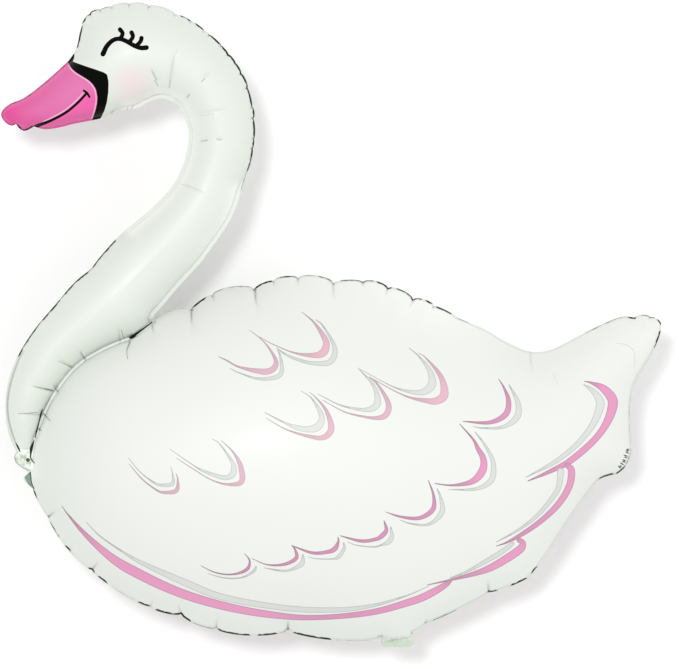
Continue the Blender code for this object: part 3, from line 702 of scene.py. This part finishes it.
def beak_colour(plan):
    """Deeper towards the tip and the edges, paler in the middle, and lighter below the mouth, where light is
    painted on the lower beak against its shade.
    """
    tip, root, middle = plan.placed([BEAK_TIP, BEAK_ROOT, BEAK_GLOW])
    mouth = plan.placed(smooth_run(MOUTH_STROKES[0]))
    ahead = root - tip
    reach = np.linalg.norm(ahead)
    base, deep, low, pale = (np.array(INKS[ink]) for ink in ("beak", "beak_tip", "beak_low_painted_light", "beak_pale"))

    def colour_at(places):
        along = ((places - tip) @ ahead) / reach**2
        under = np.interp(places[:, 0], mouth[:, 0], mouth[:, 1]) - places[:, 1]
        below = smoothstep(under / (0.06 * reach) + 0.5)
        glow = bell(np.linalg.norm(places - middle, axis=1), reach * 0.3)
        near_edge = smoothstep(1 - plan.edge.look(places)[0] / (0.17 * reach))
        near_tip = smoothstep(1 - along / 0.4)
        colour = base + (pale - base) * glow[:, None]
        colour = colour + (deep - colour) * np.maximum(near_tip, 0.75 * near_edge)[:, None]
        return colour + (low - colour) * (below * (1 - 0.6 * near_tip) * (1 - near_edge))[:, None]

    return colour_at


def comb_places(plan):
    """Where the comb's creases start at the rim, and the way in from there."""
    left = lefts(plan.outline, closed=True)
    for way in np.arange(*plan.stretch(*COMB_RUN), COMB_STEP):
        at = int(np.searchsorted(plan.edge.way, way)) % len(plan.outline)
        yield plan.outline[at], left[at]


def comb_ticks(plan):
    """Painted shade of the short gathers side by side at the tail's lower corner."""
    made = []
    for (place, inward), end in zip(comb_places(plan), cycle(COMB_ENDS)):
        near, far = place + inward * COMB_START, place + inward * end
        middle = (near + far) / 2
        half = np.array((inward[1], -inward[0])) * COMB_TICK_WIDTH / 2
        loop = np.array((near + half / 2, middle + half, far + half / 2,
                         far - half / 2, middle - half, near - half / 2))
        made.append(Mark(loop, plain("deep_shade")))
    return made


def all_marks(plan, printer):
    """The print, and the painted shade of folds, gathers and the breast's flap, later marks over earlier
    ones.
    """
    marks = [printer.area([*BEAK_BACK, *BEAK_SURROUND], beak_colour(plan), smooth=False),
             printer.area(BAND, plain("black"), smooth=False), printer.stroke(BEAK_LINE, "beak_line")]
    marks += [printer.stroke(stroke, "black") for stroke in MOUTH_STROKES + EYE_STROKES]
    marks += [printer.stroke(MOUTH_HIGHLIGHT, "mouth_highlight"), printer.area(BREAST_FLAP, plain("flap_shade"))]
    marks += comb_ticks(plan)
    marks += [printer.stroke(stroke, ink) for ink, strokes in FOLD_SHADES.items() for stroke in strokes]
    for group in (BACK_MARKS, WING_MARKS, TAIL_MARKS):
        for ink, strokes in group.items():
            marks += [printer.stroke(stroke, ink, ink + "_edge", ink != "silver") for stroke in strokes]
    return marks


def triangular_grid(low, high, step):
    """Points in rows over a rectangle, every other row half a step along."""
    rise = step * math.sqrt(3) / 2
    rows, columns = int((high[1] - low[1]) / rise) + 1, int((high[0] - low[0]) / step) + 1
    row, column = np.divmod(np.arange(rows * columns), columns)
    return np.stack((low[0] + (column + row % 2 / 2) * step, low[1] + row * rise), axis=1)


def with_room(kept, points, least):
    """The points kept so far and those of the new ones with room to them and to each other."""
    if len(points) == 0:
        return kept
    _, first = np.unique(np.round(points / (0.8 * least)), axis=0, return_index=True)
    points = points[np.sort(first)]
    tree = tree_of(kept)
    clear = np.array([tree.find((x, y, 0))[2] > least for x, y in points])
    return np.vstack((kept, points[clear]))


class Net:
    """Triangles over the outline's inside, with edges along every mark's outline."""

    def __init__(self, plan, marks, step, creases, hole):
        self.plan = plan
        rim = plan.outline
        points, edges, first = [rim], [], len(rim)
        for loop in [hole] + [mark.loop for mark in marks]:
            usable = is_inside(loop, rim) & (plan.edge.look(loop)[0] > PRINT_TO_RIM)
            numbers = first + np.cumsum(usable) - 1
            for i in np.nonzero(usable & np.roll(usable, -1))[0]:
                edges.append((int(numbers[i]), int(numbers[(i + 1) % len(loop)])))
            points.append(loop[usable])
            first += int(usable.sum())
        fixed = np.vstack(points)
        for mark in marks:
            fixed = with_room(fixed, mark.inner, PRINT_ROOM)
        corners = [Vector(p) for p in self.filled(fixed, step, creases)]
        corners, _, faces, sources, *_ = delaunay_2d_cdt(corners, edges, [list(range(len(rim)))], 1, 1e-7)
        corners = np.array([tuple(v) for v in corners])
        faces = np.array([f for f in faces if len(f) == 3])
        place_of = {source: index for index, held in enumerate(sources) for source in held}
        centres = corners[faces].mean(axis=1)
        solid = ~is_inside(centres, hole)
        used, numbers = np.unique(faces[solid], return_inverse=True)
        new_number = np.full(len(corners), -1)
        new_number[used] = np.arange(len(used))
        ring = new_number[[place_of[i] for i in range(len(rim) + len(hole))]]
        self.rim, self.hole = ring[:len(rim)], ring[len(rim):]
        self.faces, self.centres, self.corners = numbers.reshape(-1, 3), centres[solid], corners[used]

    def filled(self, kept, step, creases):
        """The net's points: rings along the seam and the welds, the creases, and an even grid."""
        plan = self.plan
        left = lefts(plan.outline, closed=True)
        width = plan.seam_width(plan.edge.way[:-1])
        room = EDGE_STEP * 0.45

        def clear_of_seam(points, least, share=1.0):
            """The points further in than a share of the seam's width and a bit more."""
            points = points[is_inside(points, plan.outline)]
            gap, way = plan.edge.look(points)
            return points[gap >= least + plan.seam_width(way) * share]

        for radius in HOLE_RINGS:
            ring = plan.hole_centre + plan.hole * radius / (HANGING_HOLE_DIAMETER / 2)
            kept = with_room(kept, ring, HOLE_RING_ROOM)
        dark = plan.outline + left * EDGE_LINE
        kept = with_room(kept, dark[is_inside(dark, plan.outline)], EDGE_LINE * 0.6)
        kept = with_room(kept, clear_of_seam(plan.outline + left * width[:, None], 0.0, 0.99), room)
        for weld in plan.weld_lines:
            for side in ACROSS_WELD:
                line = weld + lefts(weld) * side * NECK_WELD_WIDTH / 2
                kept = with_room(kept, clear_of_seam(line, EDGE_LINE * 0.9, 0.0), room * 0.8)
        for away in RINGS:
            rings = [clear_of_seam(plan.outline + left * (width + away)[:, None], away * 0.93)]
            rings += [clear_of_seam(weld + lefts(weld) * side * (NECK_WELD_WIDTH / 2 + away), away / 2)
                      for weld in plan.weld_lines for side in (-1, 1)]
            rings = self.off_welds(np.vstack(rings), away * 0.93)
            kept = with_room(kept, rings, max(RING_ROOM, min(away * 0.55, room)))
        for line in creases:
            for aside in BESIDE_CREASE:
                beside = clear_of_seam(line + lefts(line) * aside, CREASE_TO_SEAM)
                kept = with_room(kept, self.off_welds(beside, CREASE_TO_SEAM), CREASE_ROOM)
        grid = triangular_grid(plan.outline.min(axis=0), plan.outline.max(axis=0), step)
        return with_room(kept, self.off_welds(clear_of_seam(grid, RINGS[-1]), RINGS[-1]), step * 0.6)

    def off_welds(self, points, least):
        """The points further than this from the edges of the welds inside the outline."""
        for weld in self.plan.welds:
            points = points[weld.look(points)[0] >= NECK_WELD_WIDTH / 2 + least]
        return points

    def is_flat(self):
        """Where the two films lie welded together."""
        gap, way = self.plan.edge.look(self.corners)
        flat = gap <= self.plan.seam_width(way) + HAIR
        for weld in self.plan.welds:
            flat |= weld.look(self.corners)[0] <= NECK_WELD_WIDTH / 2 + HAIR
        for tab in self.plan.tabs:
            flat |= is_inside(self.corners, tab)
        return flat

    def rise(self):
        """How far a skin stretched over the net rises when blown up: round over a narrow tube, flatter over
        a wide body. Solved by conjugate gradients."""
        a, b, c = (self.corners[self.faces[:, i]] for i in range(3))
        doubled = np.abs((b - a)[:, 0] * (c - a)[:, 1] - (b - a)[:, 1] * (c - a)[:, 0])
        doubled = np.maximum(doubled, 1e-12)
        count = len(self.corners)
        sides = (c - b, a - c, b - a)
        share, own = np.zeros(count), np.zeros(count)
        for i in range(3):
            share += np.bincount(self.faces[:, i], doubled / 6, count)
            own += np.bincount(self.faces[:, i], (sides[i] ** 2).sum(axis=1) / (2 * doubled), count)
        pairs = ((0, 1), (1, 2), (2, 0))
        ends = np.vstack([self.faces[:, pair] for pair in pairs])
        pull = np.concatenate([(sides[i] * sides[j]).sum(axis=1) / (2 * doubled) for i, j in pairs])
        own += share / RISE_LENGTH**2
        free = (~self.is_flat()).astype(float)

        def applied(u):
            u = u * free
            out = own * u + np.bincount(ends[:, 0], pull * u[ends[:, 1]], count)
            out += np.bincount(ends[:, 1], pull * u[ends[:, 0]], count)
            return out * free

        risen = np.zeros(count)
        left_over = share * free
        heading = left_over / own
        measure = left_over @ heading
        enough = measure * 1e-12
        for _ in range(1500):
            moved = applied(heading)
            step = measure / (heading @ moved)
            risen += step * heading
            left_over -= step * moved
            settled = left_over / own
            measure, before = left_over @ settled, measure
            if measure < enough:
                break
            heading = settled + heading * measure / before
        return np.clip(risen, 0, None)


def furrow_lines(plan):
    """Every crease that starts at a seam: start, direction, length, share of the height, darkness of its
    painted shade.
    """
    made = []
    for start, end, share in LONG_CREASES:
        start, end = plan.placed([start, end])
        length = np.linalg.norm(end - start)
        made.append((start, (end - start) / length, length * 1.5, share, share / DARK_SHARE))
    drawn = [start for start, _, _ in LONG_CREASES]
    for notches in (BELLY_NOTCHES, HIP_NOTCHES, TAIL_NOTCHES, BACK_NOTCHES, HEAD_NOTCHES):
        for before, here, after in zip(notches, notches[1:], notches[2:]):
            if any(math.dist(here[:2], other) < SAME_CREASE for other in drawn):
                continue
            first, place, last = plan.placed([before, here, after])
            chord = last - first
            inward = np.array((-chord[1], chord[0])) / np.linalg.norm(chord)
            height = (before[2] + here[2]) / 2
            share = PUCKER_SHARE * min(1, height / 4)
            made.append((place, inward, (5 + 2.4 * height) * plan.unit, share, share / DARK_SHARE))
    for (place, inward), reach in zip(comb_places(plan), cycle(COMB_REACHES)):
        made.append((place, inward, reach, COMB_SHARE, COMB_DARKNESS))
    return made


def by_line(points, start, way, reach):
    """The points within reach of a line's start, how far along it they are and how far to its side."""
    near = np.nonzero(np.abs(points - start).max(axis=1) < reach)[0]
    off = points[near] - start
    return near, off @ way, np.abs(off @ np.array((-way[1], way[0])))


def furrow(points, lines):
    """The share of the height that the creases take away at each point, and how deep in a crease it lies,
    which sets its painted shade.
    """
    left, core = np.ones(len(points)), np.zeros(len(points))
    for start, way, reach, share, dark in lines:
        near, along, aside = by_line(points, start, way, reach * 1.2)
        behind = bell(np.clip(-along, 0, None), FURROW_TAIL)
        along = np.clip(along, 0, None)
        fade = np.clip(1 - along / reach, 0, 1) ** 1.5
        left[near] *= 1 - share * fade * behind * np.exp(-aside / (FURROW_WIDTH + FURROW_SPREAD * along))
        line = bell(aside, FURROW_CORE) * np.clip(1 - along / (0.6 * reach), 0, 1) * behind
        core[near] = np.maximum(core[near], np.clip(line * dark, 0, 1))
    return 1 - left, core


def fold_depth(points, plan):
    """How far the small folds press the film in, in metres."""
    depth = np.zeros(len(points))
    for start, end, most in FOLDS:
        start, end = plan.placed([start, end])
        reach = np.linalg.norm(end - start)
        near, along, aside = by_line(points, start, (end - start) / reach, reach * 2)
        along = along / reach
        strength = np.sqrt(np.clip(4 * along * (1 - along), 0, 1))
        depth[near] += most / 1000 * strength * np.exp(-((aside / FOLD_WIDTH) ** 1.5))
    return depth


class Film:
    """One film's net with everything that its shape and finish are worked out from."""

    def __init__(self, plan, marks, step, creases, side):
        lines = [start + np.outer(np.arange(CREASE_STEP / 2, reach, CREASE_STEP), way)
                 for start, way, reach, _, _ in creases]
        if side > 0:
            lines += [stepped(plan.placed(fold[:2]), CREASE_STEP) for fold in FOLDS]
        hole = plan.hole_centre + plan.hole * (1 if side > 0 else HOLE_TAPER)
        self.net = Net(plan, marks, step, lines, hole)
        points = self.net.corners
        self.side = np.full(len(points), float(side))
        self.gap, self.way = plan.edge.look(points)
        self.weld_gap = np.min([weld.look(points)[0] for weld in plan.welds], axis=0) - NECK_WELD_WIDTH / 2
        self.rise = self.net.rise()
        self.furrow, self.crease = furrow(points, creases)
        self.fold = fold_depth(points, plan) if side > 0 else np.zeros(len(points))
        # Painted shade along the folds
        self.crease = np.maximum(self.crease, np.clip(self.fold / 0.001, 0, 1) * 0.1)
        self.seam_gap = np.maximum(self.gap - plan.seam_width(self.way), 0)
        self.darken_weld(plan, points)
        self.darken_spots(plan, points)
        hanging, filling = (is_inside(points, tab) for tab in plan.tabs)
        band = smoothstep((plan.placed([(0, GREENER_FROM)])[0, 1] - points[:, 1]) / plan.unit)
        self.tab = hanging.astype(float)
        self.valve = filling * (0.25 + 0.4 * band)
        self.neck = is_inside(points, plan.neck_side).astype(float)
        self.flat_edge = plan.flatness(self.way)
        out = np.clip(1 - self.gap / plan.seam_width(self.way), 0, 1)
        self.curl = out * (1 - self.flat_edge) * (1 - np.maximum(hanging, filling))
        self.rim = np.max([plan.within(self.way, plan.stretch(start, end), RIM_FADE) * strength
                           for start, end, strength in DARK_RIMS], axis=0)

    def darken_weld(self, plan, points):
        """Painted shade: the dark lines along the weld under the neck."""
        away, along = plan.welds[0].look(points)
        for start, end, middle, edges in DARK_WELDS:
            first, last = plan.welds[0].look(plan.placed([start, end]))[1]
            on = smoothstep(np.minimum(along - first, last - along) / WELD_FADE + 0.5)
            dark = middle * np.clip(1.7 * bell(away, 0.001), 0, 1)
            dark += edges * bell(away - NECK_WELD_WIDTH / 2, 0.0008)
            self.crease = np.maximum(self.crease, on * dark)

    def darken_spots(self, plan, points):
        """Painted shade at small dark places and round the rim of the hanging hole."""
        for x, y, radius, strength in DARK_SPOTS:
            away = np.linalg.norm(points - plan.placed([(x, y)])[0], axis=1)
            self.crease = np.maximum(self.crease, strength * bell(away, radius * plan.unit))
        hole_gap = np.linalg.norm(points - plan.hole_centre, axis=1) - HANGING_HOLE_DIAMETER / 2
        self.crease = np.maximum(self.crease, bell(np.maximum(hole_gap, 0), HOLE_SHADE))

    def paint(self, marks):
        """The colour and cover at each face's corners of the print and of the marks of painted shade."""
        corners = self.net.corners[self.net.faces.ravel()]
        colour = np.tile(np.array(FILM_COLOUR), (len(corners), 1))
        ink = np.zeros(len(corners))
        for mark in marks:
            held = np.repeat(is_inside(self.net.centres, mark.loop), 3)
            if held.any():
                colour[held] = mark.colour_at(corners[held])
                ink[held] = 1
        return colour, ink


def blend_blush(plan, printer, corners, colour, ink):
    """A soft round blush on the cheek."""
    centre = printer.on_film([BLUSH_CENTRE])[0]
    away = np.linalg.norm(corners - centre, axis=1) / (BLUSH_REACH * plan.unit)
    cover = np.exp(-away**3.2)
    bare = (ink == 0) & (cover > 0.01)
    colour[bare] = INKS["blush"]
    ink[bare] = cover[bare]


class Socket:
    """A node's output that takes part in sums as a number does."""

    def __init__(self, tree, socket):
        self.tree, self.socket = tree, socket

    def math(self, operation, *others, **settings):
        return self.tree.node("ShaderNodeMath", {"operation": operation, **settings},
                              dict(enumerate((self, *others))))

    def __add__(self, other):
        return self.math("ADD", other)

    __radd__ = __add__

    def __sub__(self, other):
        return self.math("SUBTRACT", other)

    def __rsub__(self, other):
        return -self + other

    def __mul__(self, other):
        return self.math("MULTIPLY", other)

    __rmul__ = __mul__

    def __truediv__(self, other):
        return self.math("DIVIDE", other)

    def __pow__(self, other):
        return self.math("POWER", other)

    def __neg__(self):
        return self * -1.0

    def clamped(self):
        return self.math("ADD", 0.0, use_clamp=True)

    def between(self, start, end):
        """0 at the start, 1 at the end, straight between them and held beyond them."""
        return ((self - start) / (end - start)).clamped()

    def fading(self, reach):
        """1 at 0, and less and less with the distance."""
        return (-(self / reach)).math("EXPONENT")


class Tree:
    """A node tree that is written as expressions."""

    def __init__(self, tree):
        self.tree = tree

    def feed(self, node, inputs):
        """Sockets and plain values into a node's inputs."""
        for name, value in inputs.items():
            if isinstance(value, Socket):
                self.tree.links.new(value.socket, node.inputs[name])
            else:
                node.inputs[name].default_value = value

    def node(self, kind, settings=None, inputs=None, output=0):
        made = self.tree.nodes.new(kind)
        for name, value in (settings or {}).items():
            setattr(made, name, value)
        self.feed(made, inputs or {})
        return Socket(self, made.outputs[output])

    def vector(self, x, y=0.0, z=0.0):
        return self.node("ShaderNodeCombineXYZ", None, {0: x, 1: y, 2: z})

    def parts(self, vector):
        return [self.node("ShaderNodeSeparateXYZ", None, {0: vector}, output=axis) for axis in range(3)]

    def noise(self, place, scale, detail, **settings):
        return self.node("ShaderNodeTexNoise", settings, {"Vector": place, "Scale": scale, "Detail": detail})

    def mixed(self, share, under, over, blend_type="MIX"):
        """One colour over another by a share."""
        under, over = (part if isinstance(part, Socket) else (*part, 1) for part in (under, over))
        return self.node("ShaderNodeMix", {"data_type": "RGBA", "blend_type": blend_type},
                         {0: share, 6: under, 7: over}, output=2)


def placed_object(name, data):
    """An object in the scene."""
    made = bpy.data.objects.new(name, data)
    bpy.context.scene.collection.objects.link(made)
    return made


def store(mesh, name, values, domain="POINT"):
    """A number for each point or corner, kept on the mesh."""
    attribute = mesh.attributes.new(name, "FLOAT", domain)
    attribute.data.foreach_set("value", np.ascontiguousarray(values, np.float32))


def flat_envelope(upper, lower):
    """Both films as one closed mesh, still flat, with its shape's numbers as attributes."""
    count = len(upper.net.corners)
    points = np.vstack((upper.net.corners, lower.net.corners))
    faces = [upper.net.faces, lower.net.faces[:, ::-1] + count]
    for high, low, turn in ((upper.net.rim, lower.net.rim, 1), (upper.net.hole, lower.net.hole, -1)):
        low = low + count
        high_next, low_next = np.roll(high, -1), np.roll(low, -1)
        strip = [np.stack((low, low_next, high_next), axis=1), np.stack((low, high_next, high), axis=1)]
        faces += [part[:, ::turn] for part in strip]
    faces = np.vstack(faces)
    mesh = bpy.data.meshes.new("swan_film_envelope")
    mesh.from_pydata(np.hstack((points, np.zeros((len(points), 1)))).tolist(), [], faces.tolist())
    for name in SHAPE_NUMBERS + FINISH_NUMBERS:
        store(mesh, name, np.concatenate((getattr(upper, name), getattr(lower, name))))
    return mesh, faces, points


def blow_up(plan):
    """The tree that raises the flat films: the height from the skin's rise, less the creases, the small
    puckers along the seam and the folds, the seam's own waves, and the flat spot on the floor."""
    group = bpy.data.node_groups.new("blown_up_films", "GeometryNodeTree")
    sizes = {"Edge thickness": EDGE_THICKNESS, "Seam level": plan.seam_level, "Pucker spacing": 0.011,
             "Pucker depth": 0.0011, "Pucker reach": 0.012, "Seam wave": 0.0024, "Seam wave length": 0.07,
             "Rim curl": 0.0026, "Tab crinkle": 0.0022}
    group.interface.new_socket("Geometry", in_out="INPUT", socket_type="NodeSocketGeometry")
    for name, value in sizes.items():
        socket = group.interface.new_socket(name, in_out="INPUT", socket_type="NodeSocketFloat")
        socket.default_value = value
    group.interface.new_socket("Material", in_out="INPUT", socket_type="NodeSocketMaterial")
    group.interface.new_socket("Geometry", in_out="OUTPUT", socket_type="NodeSocketGeometry")
    tree = Tree(group)
    enter = group.nodes.new("NodeGroupInput")

    def given(name):
        return Socket(tree, enter.outputs[name])

    def held(name):
        return tree.node("GeometryNodeInputNamedAttribute", {"data_type": "FLOAT"}, {"Name": name})

    def noise(x, y, z, detail=1.0):
        return tree.noise(tree.vector(x, y, z), 1.0, detail, noise_dimensions="3D", normalize=False)

    way, seam_gap, side = held("way"), held("seam_gap"), held("side")
    ripple = noise(way / given("Pucker spacing"), seam_gap / 0.03, side * 3.7) * given("Pucker depth")
    pucker = ripple * seam_gap.fading(given("Pucker reach")) * seam_gap.between(0.0, 0.0015)
    height = (held("rise") * 2.0).math("SQRT") * (1.0 - held("furrow")) + pucker - held("fold")
    near_seam = ((held("gap") / 0.02) ** 2.0).fading(1.0)
    seam_wave = noise(way / given("Seam wave length"), 7.3, 0.0, 2.0) * given("Seam wave") * near_seam
    x, y, _ = tree.parts(tree.node("GeometryNodeInputPosition"))
    crinkle = noise(x / 0.008, y / 0.008, 1.7) * given("Tab crinkle") * (held("tab") + held("valve") * 0.7)
    level = side * (given("Edge thickness") / 2.0 + height) + seam_wave - held("curl") * given("Rim curl")
    level = (level + crinkle + given("Seam level")).math("MAXIMUM", 0.0)
    moved = tree.node("GeometryNodeSetPosition", None,
                      {"Geometry": given("Geometry"), "Position": tree.vector(x, y, level)})
    single = tree.node("GeometryNodeRealizeInstances", None, {"Geometry": moved})
    painted = tree.node("GeometryNodeSetMaterial", None, {"Geometry": single, "Material": given("Material")})
    tree.feed(group.nodes.new("NodeGroupOutput"), {"Geometry": painted})
    return group


def pearl_film():
    """Pearl white film with print on it, crinkled finely along the seams."""
    material = bpy.data.materials.new("printed_pearl_film")
    material.use_nodes = True
    tree = Tree(material.node_tree)
    place = tree.node("ShaderNodeTexCoord", output=3)
    x, y, _ = tree.parts(place)

    def attribute(name, output="Fac"):
        return tree.node("ShaderNodeAttribute", {"attribute_name": name}, output=output)

    ink, *numbers = (attribute(name) for name in ("ink", *FINISH_NUMBERS))
    gap, way, seam_gap, weld_gap, crease, rim, tab, valve, neck, flat_edge = numbers
    body = 1.0 - neck
    near_edge = seam_gap.math("MINIMUM", weld_gap).fading(EDGE_SHADE_REACH).clamped()
    mottle = tree.noise(place, 9.0, 3.0) - 0.5

    # The film's colour with painted shade, greener towards the edges, over the neck and on the breast, and
    # painted light along the back
    # Painted shade on the breast, towards the body's edges and over the neck, with a random mottle
    breast = x.between(-0.25, -0.5) * y.between(-0.33, -0.1633)
    body_edge_shade = (breast + near_edge * (0.05 - y * 1.3)) * body
    neck_shade = (near_edge * 0.6 + 0.4) * neck
    # Painted light: paler towards the edge of the back
    back = near_edge * y.between(-0.125, 0.0) * x.between(-0.12, 0.13) * x.between(0.27, 0.1271) * body
    film = tree.mixed(back, FILM_COLOUR, FILM_BACK_LIGHT_COLOUR)
    film = tree.mixed((body_edge_shade + neck_shade + mottle * 0.25).clamped(), film, FILM_EDGE_SHADE_COLOUR)

    # Painted light where the film leaves a flat weld, then the flat welds, the tabs with painted shade in
    # the hanging tab's crumples, and the weld under the neck painted pale against the shade of its valley
    seam_foot_light = seam_gap.fading(SEAM_FOOT_LIGHT_REACH) * (0.15 + flat_edge * 0.85)
    foot_light = seam_foot_light.math("MAXIMUM", weld_gap.fading(WELD_FOOT_LIGHT_REACH) * 0.85).clamped()
    film = tree.mixed(foot_light, film, FOOT_LIGHT_COLOUR)
    film = tree.mixed(seam_gap.between(0.0003, 0.0), film, FLANGE_COLOUR)
    # Painted shade in the hanging tab's crumples
    crumple_shade = tab * (0.33 + (tree.noise(place, 190.0, 1.0) - 0.5) * 4.0)
    film = tree.mixed((crumple_shade + valve).clamped(), film, TAB_TINT_AND_SHADE_COLOUR)
    film = tree.mixed(weld_gap.between(0.0003, -0.0003) * (1.0 - tab), film, WELD_PALE_AND_LIT_COLOUR)

    # The print, and over it the painted shade of the creases and the broken dark line painted at the rim as
    # shade and dark reflection
    printed = tree.mixed(ink, film, attribute("print_and_shade_colour", "Color"))
    broken = tree.noise(tree.vector(way * 95.0), 1.0, 2.0)
    rim_width = ((broken - 0.32) * 2.4 + rim * 0.5).clamped() * (rim * 0.7 + 0.3) * RIM_LINE_WIDTH
    rim_shade_line = ((rim_width - gap) / 0.0004).clamped() * (rim * 1.4).clamped()
    shaded = tree.mixed((crease * 0.85 + rim_shade_line).clamped(), printed, CREASE_SHADE_COLOUR, blend_type="MULTIPLY")

    # Fine gathers along the seam and a faint grain, satin film and duller black ink
    gathers = tree.noise(tree.vector(way * 420.0, seam_gap * 60.0), 1.0, 2.0)
    relief = gathers * near_edge * 0.9 + tree.noise(place, 160.0, 2.0) * (0.06 + 0.5 * tab)
    bump = tree.node("ShaderNodeBump", None, {"Strength": 0.35, "Distance": 0.0006, "Height": relief})
    dark = (1.0 - tree.node("ShaderNodeRGBToBW", None, {0: shaded}) * 5.0).clamped()
    tree.feed(material.node_tree.nodes["Principled BSDF"], {
        "Base Color": shaded, "Roughness": 0.5 + mottle * 0.08 - ink * 0.06 + dark * 0.2,
        "Metallic": ((1.0 - ink) * 0.03).math("MAXIMUM", dark), "Normal": bump,
        "Coat Weight": 0.03 - dark * 0.03, "Coat Roughness": 0.14, "IOR": 1.46})
    return material


def envelope(plan, printer):
    """The balloon as one closed, printed mesh."""
    marks = all_marks(plan, printer)
    lower_marks = [mark for mark in marks if mark.both_films]
    creases = furrow_lines(plan)
    upper = Film(plan, marks, UPPER_STEP, creases, 1)
    lower = Film(plan, lower_marks, LOWER_STEP, creases, -1)
    mesh, faces, points = flat_envelope(upper, lower)
    colours, inks = zip(upper.paint(marks), lower.paint(lower_marks))
    hole_corners = 6 * len(upper.net.hole)
    rim_corners = faces.size - hole_corners - sum(len(ink) for ink in inks)
    # The walls of the hanging hole are painted black as shade
    hole_wall_shade = np.tile(INKS["black"], (hole_corners, 1))
    colour = np.vstack((*colours, np.tile(FILM_COLOUR, (rim_corners, 1)), hole_wall_shade))
    ink = np.concatenate((*inks, np.zeros(rim_corners), np.ones(hole_corners)))
    blend_blush(plan, printer, points[faces.ravel()], colour, ink)
    layer = mesh.color_attributes.new("print_and_shade_colour", "FLOAT_COLOR", "CORNER")
    opaque = np.hstack((colour, np.ones((len(colour), 1)))).astype(np.float32)
    layer.data.foreach_set("color", opaque.ravel())
    store(mesh, "ink", ink, "CORNER")
    flat = placed_object("flat_films", mesh)
    modifier = flat.modifiers.new("blown up", "NODES")
    modifier.node_group = blow_up(plan)
    for item in modifier.node_group.interface.items_tree:
        if item.name == "Material":
            modifier[item.identifier] = pearl_film()
    bpy.context.view_layer.update()
    shape = bpy.data.meshes.new_from_object(flat.evaluated_get(bpy.context.evaluated_depsgraph_get()))
    bpy.data.objects.remove(flat)
    for name in SHAPE_NUMBERS:
        shape.attributes.remove(shape.attributes[name])
    shape.shade_smooth()
    shape.set_sharp_from_angle(angle=math.radians(50))
    return placed_object("swan_film_envelope", shape)


def camera_over(plan):
    """A camera looking straight down, with the photograph's frame at the seam's height."""
    x, y = plan.placed([(PHOTO_WIDTH / 2, PHOTO_HEIGHT / 2)])[0]
    lens = bpy.data.cameras.new("camera")
    lens.sensor_width = SENSOR
    lens.lens = SENSOR * CAMERA_HEIGHT / (PHOTO_WIDTH * plan.unit)
    camera = placed_object("camera", lens)
    camera.location = (x, y, plan.seam_level + CAMERA_HEIGHT)
    bpy.context.scene.camera = camera
    return camera


def sunlight(name, direction, brightness, spread):
    """Light from one direction: its brightness on white paper square to it, and its spread in degrees."""
    lamp = bpy.data.lights.new(name, "SUN")
    lamp.energy = brightness * math.pi
    lamp.angle = math.radians(spread)
    placed_object(name, lamp).rotation_euler = Vector(direction).to_track_quat("Z", "Y").to_euler()


def pale_sky(brightness):
    """Even light from all round."""
    world = bpy.data.worlds.new("pale_sky")
    world.use_nodes = True
    Tree(world.node_tree).feed(world.node_tree.nodes["Background"],
                               {"Color": (1, 1, 1, 1), "Strength": brightness})
    bpy.context.scene.world = world


def pale_floor():
    """A white sheet just under the balloon."""
    mesh = bpy.data.meshes.new("pale_floor")
    corners = [(x * FLOOR_SIZE / 2, y * FLOOR_SIZE / 2, 0) for x, y in ((-1, -1), (1, -1), (1, 1), (-1, 1))]
    mesh.from_pydata(corners, [], [(0, 1, 2, 3)])
    material = bpy.data.materials.new("pale_paper")
    material.use_nodes = True
    Tree(material.node_tree).feed(material.node_tree.nodes["Principled BSDF"], {
        "Base Color": (0.96, 0.96, 0.96, 1), "Roughness": 0.9, "Specular IOR Level": 0.1})
    mesh.materials.append(material)
    floor = placed_object("pale_floor", mesh)
    floor.location.z = -0.0004


plan = Plan(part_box(NODE))
camera = camera_over(plan)
pale_sky(0.8)
sunlight("lamp_from_the_upper_left", (-0.14, 0.14, 1), 0.31, 9)
sunlight("fill_from_the_right", (1, -0.2, 0.7), 0.125, 70)
pale_floor()
bpy.context.scene.view_settings.view_transform = "Standard"
balloon = envelope(plan, Printer(plan, camera.location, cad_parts[NODE]))
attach(balloon, "root")
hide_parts(NODE)
